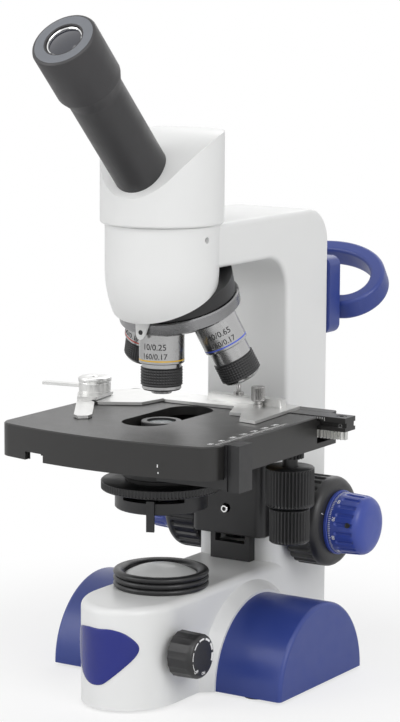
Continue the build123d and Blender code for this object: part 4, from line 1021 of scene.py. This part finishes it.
@dataclass
class Collector:
    """Lamp collector: a stack of rounded rings with a sloping lip round a domed frosted lens."""

    radius: float = 24.3
    skirt: float = 20.0
    bore: float = 18.5
    low: float = 53.0
    high: float = 62.4
    rings: int = 3
    groove: float = 1.5

    def build(self) -> None:
        """Make the ring and the lens.

        With t from 0 at the base to 1 at the lip, the wall's radius is the full radius less the groove's
        depth times one minus the root of the size of the sine of rings half-turns of t. The lens rises as
        one minus the square of the radius over the bore.
        """
        axis = Spindle((0.0, 0.0, 0.0), UP, RIGHT)
        t = np.linspace(0.0, 1.0, 73)
        swell = np.abs(np.sin(math.pi * self.rings * t)) ** 0.5
        wall = np.column_stack([self.radius - self.groove * (1.0 - swell),
                                self.low + 0.02 + (self.high - self.low - 0.3) * t]).tolist()
        outline = [(self.bore, self.low - 2.0), (self.skirt, self.low - 2.0), (self.skirt, self.low + 0.02),
                   *wall, (self.radius - 2.2, self.high), (self.bore + 0.5, self.high - 1.5),
                   (self.bore, self.high - 2.1)]
        ring = turned_surface("collector_rings", axis, outline, 144, None, True, WIDE_ANGLE)
        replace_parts(dress(ring, BLACK_PAINT, "frame"), "collector_ring")
        edge, rise = self.high - 3.2, 5.2
        r = np.linspace(self.bore - 0.1, 0.0, 24)
        dome = np.column_stack([r, edge + rise * (1.0 - (r / self.bore) ** 2)]).tolist()
        rows = [(0.0, self.low + 1.0), (self.bore - 0.1, self.low + 1.0), *dome]
        lens = turned_surface("collector_dome", axis, rows, 128, None, False, WIDE_ANGLE)
        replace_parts(dress(lens, LAMP_LENS, "frame"), "collector_lens")


@dataclass
class EyepieceTrim:
    """Eyepiece with its cone, flat face ring and eye lens, on the slanted tube's axis."""

    cross: float = 245.7
    tube: float = 14.0
    body: float = 16.5
    start: float = 82.02
    end: float = 119.0
    lens: float = 8.4

    def build(self) -> None:
        """Turn the eyepiece, the face ring, the lens's bright rim and the lens."""
        slant = math.sqrt(0.5)
        axis = Spindle((0.0, 0.0, self.cross), (0.0, -slant, slant), RIGHT)
        r, e = self.body, self.end
        outline = [(10.2, 62.0), (11.6, 62.0), (11.6, self.start), (self.tube, self.start),
                   (self.tube, self.start + 2.0), (r - 0.15, 90.0), (r, 90.6), (r, e - 1.4),
                   (r - 0.4, e - 0.5), (r - 0.9, e - 0.15), (r - 1.4, e), (9.6, e), (9.3, e - 0.3),
                   (9.3, e - 2.0), (8.0, e - 3.2), (8.0, e - 9.0), (10.2, e - 11.0)]
        piece = turned_surface("eyepiece_body", axis, outline, 128, None, True, CRISP_ANGLE)
        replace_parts(dress(piece, EYEPIECE_GREY, "head"), "eyepiece")
        rows = [(10.1, e - 0.2), (10.1, e + 0.05), (10.2, e + 0.1), (r - 1.75, e + 0.1), (r - 1.65, e + 0.05),
                (r - 1.65, e - 0.2)]
        # The face ring's lighter grey is painted sheen on the eyepiece's top face.
        dress(turned_surface("eyepiece_face", axis, rows, 128, None, True, CRISP_ANGLE), FACE_RING_SHEEN, "head")
        rows = [(self.lens, e - 3.0), (9.2, e - 2.0), (9.2, e - 1.3), (8.9, e - 1.0), (self.lens, e - 1.3)]
        dress(turned_surface("eye_lens_rim", axis, rows, 96, None, True, CRISP_ANGLE), BRIGHT_CHROME, "head")
        # The eye lens is opaque and near-black: painted shade of the eyepiece's dark inside.
        g = self.lens - 0.02
        radius = np.linspace(g, 0.0, 14)
        dome = np.column_stack([radius, e - 1.7 + 1.0 * (1.0 - (radius / g) ** 2)]).tolist()
        rows = [(0.0, e - 4.0), (g, e - 4.0), *dome]
        lens = turned_surface("eye_lens", axis, rows, 96, None, False, WIDE_ANGLE)
        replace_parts(dress(lens, LENS_PAINTED_DARK, "head"), "eyepiece_lenses")


@dataclass
class HolderTrim:
    """Knurled thumb screw, rail screw and the cap over the clip's pivot."""

    plate: float = 141.1
    ridges: int = 22

    def build(self) -> None:
        """Turn the three pieces on upright axes."""
        axis = Spindle((28.5, 46.6, self.plate), UP, RIGHT)
        outline = [(0.0, 0.0), (2.4, 0.0), (2.4, 1.2), (1.9, 1.4), (1.9, 2.6), (3.0, 2.8)]
        outline += dense([(3.5, 3.1), (3.5, 10.0)], 0.5) + [(3.2, 10.4), (2.6, 10.5), (0.0, 10.5)]
        knurl = knurl_relief(self.ridges, 0.45, 3.0, 10.2)
        screw = turned_surface("holder_thumb_screw", axis, outline, self.ridges * 10, knurl, False,
                               WIDE_ANGLE, 3.3)
        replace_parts(dress(screw, KNURLED_STEEL, "x_slide"), "thumb_screw")
        rows = [(0.0, 0.0), (2.6, 0.0), (2.65, 0.3), (2.65, 1.3), (2.4, 1.6), (1.2, 1.7), (1.2, 5.0),
                (1.0, 5.3), (0.0, 5.3)]
        stem = turned_surface("rail_screw", Spindle((13.0, 53.0, self.plate + 3.6), UP, RIGHT), rows, 40)
        dress(stem, KNURLED_STEEL, "x_slide")
        rows = [(0.0, 0.0), (8.5, 0.0), (8.7, 0.3), (8.7, 1.6), (8.4, 2.2), (7.6, 2.5), (2.4, 2.6),
                (1.9, 2.4), (1.5, 1.6), (0.0, 1.5)]
        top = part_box("clip_finger")[1][2] * PER_METRE
        cap = turned_surface("clip_cap", Spindle((-62.0, 31.0, top - 0.4), UP, RIGHT), rows, 96)
        dress(cap, SATIN_PLATE, "clip")


@dataclass
class NosepieceTab:
    """White index tab that hangs from the nose in front of the turret, with its screw."""

    y: float = -15.2
    rim: Profile = ((-5.6, 194.0), (2.9, 194.0), (2.5, 188.8), (0.9, 184.8), (-0.2, 182.3), (-1.2, 181.0),
                    (-2.7, 180.3), (-4.2, 180.8), (-5.1, 182.2), (-5.5, 186.0))

    def build(self) -> None:
        """Make the plate as shrinking copies of its outline, then the screw in it."""
        rim = np.array(self.rim)
        middle = rim.mean(axis=0)
        share = np.array([0.0, 1.0, 1.0, 0.93, 0.0])[:, None, None]
        depth = np.array([0.7, 0.7, -0.2, -0.35, -0.35])[:, None, None]
        flat = middle + (rim - middle)[None] * share
        grid = np.concatenate([flat[..., :1], self.y + depth + 0.0 * flat[..., :1], flat[..., 1:]], axis=-1)
        plate = object_from("nosepiece_tab", metres(grid), grid_faces(5, len(rim), False, True), WIDE_ANGLE)
        dress(plate, ENAMEL, "frame")
        Screw("tab_screw", Spindle((-2.4, self.y - 0.35, 184.2), FRONT, UP), 1.2, 0.3, "frame",
              BLACK_PAINT).build()


@dataclass
class CondenserTrim:
    """Knurled focusing ring of the condenser."""

    ring_radius: float = 30.5
    ring_low: float = 103.5
    ring_high: float = 108.0
    bore: float = 18.48
    ridges: int = 104

    def build(self) -> None:
        """Make the ring."""
        spindle = Spindle((0.0, 0.0, self.ring_low), UP, RIGHT)
        h = self.ring_high - self.ring_low
        outline = [(self.bore, 0.0), (self.ring_radius - 0.4, 0.0)]
        outline += dense([(self.ring_radius, 0.4), (self.ring_radius, h - 0.4)], 0.6)
        outline += [(self.ring_radius - 0.4, h), (self.bore, h)]
        knurl = knurl_relief(self.ridges, 0.6, 0.4, h - 0.4)
        ring = turned_surface("focusing_ring", spindle, outline, self.ridges * 6, knurl, True, KNURL_ANGLE,
                              self.ring_radius - 0.2)
        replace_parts(dress(ring, BLACK_GRIP, "condenser_focus"), "condenser_ring")


@dataclass
class StageMarks:
    """Scales and ticks of the mechanical stage."""

    top: float = 139.3
    scale_x: float = 60.4
    scale_from: float = -46.0
    scale_to: float = 20.0
    ink: float = 0.04

    def build(self) -> None:
        """Lay the scales."""
        long_scale = Marks("stage_scale", on_plane((self.scale_x, 0.0, self.top), RIGHT, BACK), self.ink)
        count = int(self.scale_to - self.scale_from)
        long_scale.bar(0.0, (self.scale_from + self.scale_to) / 2.0, 0.28, float(count))
        for k in range(0, count + 1, 2):
            tall = 2.4 if k % 10 == 0 else 1.4
            long_scale.bar(tall / 2.0, self.scale_from + k, tall, 0.3)
        for k in range(0, count + 1, 10):
            long_scale.text(str(80 + k), -2.5, self.scale_from + k, 2.5, 90.0, 0.02)
        long_scale.build(WHITE_INK, "stage")
        pair = Marks("stage_front_marks", on_plane((38.7, -62.6, 127.6), RIGHT, UP), self.ink)
        pair.bar(-0.2, 1.7, 0.5, 1.5)
        pair.bar(0.2, -1.6, 0.5, 0.8)
        pair.build(WHITE_INK, "stage")
        low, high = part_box("x_bar")
        corner = (high[0] * PER_METRE - AXIS_X - 42.0, low[1] * PER_METRE - AXIS_Y, high[2] * PER_METRE)
        bar_scale = Marks("bar_scale", on_plane(corner, RIGHT, UP), self.ink)
        for k in range(31):
            tall = 1.9 if k % 10 == 0 else (1.5 if k % 5 == 0 else 1.0)
            bar_scale.bar(k, -0.5 - tall / 2.0, 0.2, tall)
        bar_scale.build(WHITE_INK, "x_slide")


@dataclass
class Badge:
    """Bare domed plate with rounded corners on the nose of the base."""

    half: float = 25.0
    nose_y: float = -24.3
    nose_length: float = 30.0
    rise: float = 0.78
    rim: Profile = ((-9.6, 41.9), (-1.0, 42.2), (6.2, 42.4), (12.6, 40.1), (17.0, 34.6), (16.2, 29.2),
                    (10.9, 22.7), (3.6, 16.0), (-0.4, 13.8), (-6.0, 13.4), (-10.9, 15.2), (-15.2, 19.5),
                    (-18.2, 26.5), (-19.3, 33.5), (-17.0, 39.6))

    def outline(self, count: int) -> np.ndarray:
        """Smooth closed line through the rim's points.

        Each stretch is a cubic whose slope at a point is half the step between that point's neighbours.

        Args:
            count: Points on each stretch.

        Returns:
            Array of x and z.
        """
        knots = np.array(self.rim)
        before, after, two = np.roll(knots, 1, 0), np.roll(knots, -1, 0), np.roll(knots, -2, 0)
        t = np.linspace(0.0, 1.0, count, endpoint=False)[None, :, None]
        a, b = knots[:, None], after[:, None]
        m0, m1 = (after - before)[:, None] / 2.0, (two - knots)[:, None] / 2.0
        line = ((2 * t ** 3 - 3 * t ** 2 + 1) * a + (t ** 3 - 2 * t ** 2 + t) * m0
                + (-2 * t ** 3 + 3 * t ** 2) * b + (t ** 3 - t ** 2) * m1)
        return line.reshape(-1, 2)

    def build(self) -> None:
        """Make the dome: rings shrink to the middle while the height eases from the rim to the full rise."""
        rim = self.outline(8)
        middle = rim.mean(axis=0)
        share = np.array([1.0, 1.0, 0.985, 0.955, 0.91, 0.84, 0.74, 0.6, 0.4, 0.2, 0.0])
        lift = np.array([0.0, 0.25, 0.42, 0.55, 0.64, 0.7, 0.74, 0.76, 0.775, 0.78, 0.78]) / 0.78 * self.rise
        flat = middle + (rim - middle)[None] * share[:, None, None]
        x, z = flat[..., 0], flat[..., 1]
        slope = np.sqrt(np.maximum(1.0 - (x / self.half) ** 2, 0.0))
        y = self.nose_y - self.nose_length * slope
        normal = np.stack([x / self.half ** 2, (y - self.nose_y) / self.nose_length ** 2, 0.0 * x], -1)
        normal /= np.linalg.norm(normal, axis=-1, keepdims=True)
        points = np.stack([x, y, z], -1) + normal * (lift[:, None, None] + 0.02)
        back = points[0] - normal[0] * 0.02
        grid = np.concatenate([np.broadcast_to(back.mean(axis=0), back.shape)[None], back[None], points])
        faces = grid_faces(len(grid), grid.shape[1], False, True)
        piece = object_from("base_badge", metres(grid), faces, WIDE_ANGLE)
        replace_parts(dress(piece, BLUE_DOME, "frame"), "badge_plate")


@dataclass
class SmallScrews:
    """Ring on the stage's bracket and the two screws of the X bar."""

    ring: Triple = (-0.9, 62.4, 81.2)

    def build(self) -> None:
        """Make each one on its own axis."""
        rows = [(1.15, -0.4), (2.05, -0.4), (2.05, 0.45), (1.8, 0.7), (1.15, 0.7)]
        axis = Spindle(self.ring, FRONT, UP)
        dress(turned_surface("bracket_ring", axis, rows, 48, None, True), BRIGHT_CHROME, "carriage")
        # The black disc in the ring's hole is painted shade of the hole.
        well = turned_surface("bracket_hole_painted_shade", axis, [(0.0, -0.4), (1.14, -0.4), (1.14, 0.1), (0.0, 0.1)], 32)
        dress(well, BLACK_INK, "carriage")
        Screw("bar_front_screw", Spindle((75.4, 49.0, 135.4), FRONT, UP), 1.3, 0.35, "x_slide", GROUND_STEEL,
              0.33).build()
        Screw("bar_screw", Spindle((74.0, 52.75, 139.6), UP, RIGHT), 2.5, 1.6, "x_slide", BLACK_PAINT,
              1.7).build()


@dataclass(frozen=True)
class Dressing:
    """Finish of each solid, with the names of the solids that share one in a line."""

    finishes: Tuple[Tuple["Finish | GlassFinish", str], ...] = (
        (ENAMEL, "stand head_shell"),
        (COVER_GREY, "bottom_cover"),
        (PAD_RUBBER, "rubber_pads"),
        (BLUE_FOOT, "feet handle"),
        (BLUE_DOME, "badge_plate"),
        (BLACK_PAINT, "collector_ring focus_guide nosepiece_base stage_bracket lower_plate condenser_collar "
                      "vernier_block y_shaft condenser_barrel iris_housing iris_lever head_ring"),
        (LAMP_LENS, "collector_lens"),
        (BOARD_GREEN, "lamp_board"),
        (BLACK_GRIP, "power_inlet dimmer_case dimmer_knob coarse_knobs y_knob x_knob condenser_ring"),
        (MACHINED_BRASS, "focus_bushes focus_rack y_rack"),
        (GROUND_STEEL, "turret_pivot focus_tongue coarse_shaft fine_shaft clip_pin x_shaft"),
        (BLUE_KNOB, "dial_collars fine_knobs"),
        (STAGE_BLACK, "stage_plate x_bar"),
        (SILVER_RACK, "x_rack"),
        (SATIN_PLATE, "holder_plate holder_rail clip_finger"),
        (TURNED_CHROME, "thumb_screw blank_plug objective_4x_barrel objective_10x_barrel "
                        "objective_40x_barrel"),
        (TURRET_GREY, "turret"),
        (BRIGHT_CHROME, "objective_4x_nose objective_10x_nose objective_40x_nose"),
        (CLEAR_GLASS, "condenser_lenses objective_lenses prism eyepiece_lenses"),
        (TUBE_GREY, "eye_tube"),
        (EYEPIECE_GREY, "eyepiece"),
    )

    def apply(self) -> None:
        """Give each solid its finish."""
        by_node = {name: finish for finish, names in self.finishes for name in names.split()}
        for name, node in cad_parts.items():
            node.data.materials.clear()
            node.data.materials.append(by_node[name].material())
            LOG.info("finish %s on %s", by_node[name].name, name)


# Studio


@dataclass(frozen=True)
class Camera:
    """Pinhole camera that matches the photograph."""

    eye: Triple = (0.69444, -1.100196, 0.36757)
    right: Triple = (0.84558, 0.53383, 0.00527)
    up: Triple = (-0.08783, 0.12937, 0.98770)
    lens: float = 127.1
    sensor: float = 36.0

    def build(self) -> None:
        """Place the camera by its eye point and its right and up directions."""
        data = bpy.data.cameras.new("studio_camera")
        data.sensor_fit = "VERTICAL"
        data.sensor_height = self.sensor
        data.lens = self.lens
        data.clip_start = 0.05
        data.clip_end = 20.0
        camera = linked("studio_camera", data)
        x = Vector(self.right).normalized()
        y = (Vector(self.up) - Vector(self.up).dot(x) * x).normalized()
        z = x.cross(y)
        rotation = Matrix((x, y, z)).transposed()
        camera.matrix_world = Matrix.Translation(Vector(self.eye)) @ rotation.to_4x4()
        bpy.context.scene.camera = camera


@dataclass(frozen=True)
class SoftBox:
    """A square area lamp aimed at a point."""

    name: str
    place: Triple
    aim: Triple
    size: float
    power: float

    def build(self) -> None:
        """Add the lamp."""
        data = bpy.data.lights.new(self.name, "AREA")
        data.shape = "SQUARE"
        data.size = self.size
        data.energy = self.power
        lamp = linked(self.name, data)
        direction = Vector(self.aim) - Vector(self.place)
        lamp.matrix_world = (Matrix.Translation(Vector(self.place))
                             @ direction.to_track_quat("-Z", "Y").to_matrix().to_4x4())


@dataclass
class Studio:
    """White room: pale floor, even world and soft boxes."""

    floor_half: float = 6.0
    world_strength: float = 0.4
    shadow_near: float = 0.12
    shadow_far: float = 0.27
    shadow_lift: float = 0.68

    def build(self) -> None:
        """Add the floor, the world and the lamps."""
        self._world()
        self._floor()
        for lamp in (
            SoftBox("key", (2.1, -0.9, 1.5), (0.0, 0.0, 0.15), 1.3, 24.0),
            SoftBox("fill", (-1.6, -1.7, 1.3), (0.0, 0.0, 0.15), 1.5, 17.0),
            SoftBox("rim", (-0.6, 1.9, 1.5), (0.0, 0.0, 0.2), 1.4, 8.0),
            SoftBox("top", (0.1, -1.2, 1.9), (0.0, 0.0, 0.2), 1.4, 11.0),
        ):
            lamp.build()

    def _world(self) -> None:
        """Even world light that the camera, mirrors and glass see as white."""
        world = bpy.data.worlds.new("white_room")
        bpy.context.scene.world = world
        world.use_nodes = True
        tree = world.node_tree
        light = tree.nodes["Background"]
        fill_inputs(tree, light, {"Color": WHITE, "Strength": self.world_strength})
        shown = add_node(tree, "Background", {"Color": WHITE, "Strength": 1.0})
        path = add_node(tree, "LightPath", {})
        either = add_node(tree, "Math", {0: path.outputs["Is Camera Ray"],
                                         1: path.outputs["Is Transmission Ray"]}, operation="MAXIMUM")
        shiny = add_node(tree, "Math", {0: either.outputs[0], 1: path.outputs["Is Glossy Ray"]},
                         operation="MAXIMUM")
        mix = add_node(tree, "MixShader", {0: shiny.outputs[0], 1: light.outputs[0], 2: shown.outputs[0]})
        fill_inputs(tree, tree.nodes["World Output"], {"Surface": mix.outputs[0]})

    def _floor(self) -> None:
        """Lay the floor, a square with its middle at the origin."""
        span = self.floor_half
        corners = np.array([[-span, -span, 0.0], [span, -span, 0.0], [span, span, 0.0], [-span, span, 0.0]])
        mesh = bpy.data.meshes.new("studio_floor")
        mesh.from_pydata(corners.tolist(), [], [[0, 1, 2, 3]])
        floor = linked("studio_floor", mesh)
        mesh.materials.append(shared_material("studio_floor_white", self._floor_nodes))

    def _floor_nodes(self, tree: bpy.types.NodeTree) -> None:
        """Make the floor pale near the object, so that it keeps a shadow, and white further out.

        The white is a glow whose share eases from the shadow's lift to one between two distances from the
        origin. Only the camera and clear glass see it.
        """
        spot = object_spot(tree)
        tint = add_node(tree, "Mix", {"A": (0.93, 0.93, 0.93, 1.0), "B": (0.95, 0.95, 0.95, 1.0),
                                      "Factor": noise_at(tree, spot, 3.0)}, data_type="RGBA")
        shader = tree.nodes["Principled BSDF"]
        fill_inputs(tree, shader, {"Roughness": 0.9, "Specular IOR Level": 0.1,
                                   "Base Color": tint.outputs["Result"]})
        glow = add_node(tree, "Emission", {"Color": WHITE, "Strength": 1.0})
        reach = add_node(tree, "VectorMath", {0: spot}, operation="LENGTH")
        ramp = add_node(tree, "MapRange", {"From Min": self.shadow_near, "From Max": self.shadow_far,
                                           "To Min": self.shadow_lift, "Value": reach.outputs["Value"]},
                        interpolation_type="SMOOTHSTEP")
        path = add_node(tree, "LightPath", {})
        seen = add_node(tree, "Math", {0: path.outputs["Is Camera Ray"],
                                       1: path.outputs["Is Transmission Ray"]}, operation="ADD",
                        use_clamp=True)
        share = add_node(tree, "Math", {0: ramp.outputs["Result"], 1: seen.outputs[0]}, operation="MULTIPLY")
        mix = add_node(tree, "MixShader", {0: share.outputs[0], 1: shader.outputs[0], 2: glow.outputs[0]})
        fill_inputs(tree, tree.nodes["Material Output"], {"Surface": mix.outputs[0]})


def objectives() -> List[Objective]:
    """The three objectives with the directions that the turret gives them."""
    tilt = math.radians(19.3)
    s, c = math.sin(tilt), math.cos(tilt)
    front_10x = ((9.4, 29.5), (9.9, 29.9), (9.9, 31.3), (9.3, 32.0), (6.0, 32.2), (5.3, 32.4), (5.2, 33.6),
                 (4.9, 33.9), (3.2, 33.9))
    front_40x = ((9.3, 35.4), (9.7, 35.8), (9.3, 36.7), (7.9, 37.6), (5.0, 37.9), (3.6, 38.2), (3.3, 38.6),
                 (1.9, 38.6))
    front_4x = ((9.3, 28.0), (9.8, 28.4), (9.6, 29.2), (9.0, 29.6), (6.6, 29.6))
    return [
        Objective("10x", (0.0, 0.0, -1.0), (0.5, -0.866, 0.0), 18.4, 20.5, 29.5, front_10x, 3.1, YELLOW_BAND,
                  ("10/0.25", "160/0.17")),
        Objective("40x", (s, s * c, -c * c), (0.75, -0.66, 0.0), 18.4, 25.4, 35.4, front_40x, 1.8, BLUE_BAND,
                  ("40/0.65", "160/0.17")),
        Objective("4x", (-s, s * c, -c * c), FRONT, 17.6, 18.4, 28.0, front_4x, 6.5, RED_BAND,
                  ("4/0.10", "160/0.17")),
    ]


def main() -> None:
    """Dress the solids, add the detail, then the studio and the camera."""
    logging.basicConfig(level=logging.INFO)
    bpy.context.scene.view_settings.view_transform = "Standard"
    Dressing().apply()
    FocusDrive().build()
    LampControl().build()
    StageDrives().build()
    for objective in objectives():
        objective.build()
    # The front lenses are opaque and near-black: painted shade of the dark inside of each objective.
    lenses = repeated("front_lenses", [objective.lens() for objective in objectives()])
    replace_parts(dress(lenses, LENS_PAINTED_DARK, "nosepiece"), "objective_lenses")
    CondenserTrim().build()
    StageMarks().build()
    Badge().build()
    SmallScrews().build()
    Collector().build()
    EyepieceTrim().build()
    HolderTrim().build()
    NosepieceTab().build()
    Studio().build()
    Camera().build()


if __name__ == "__main__":
    main()
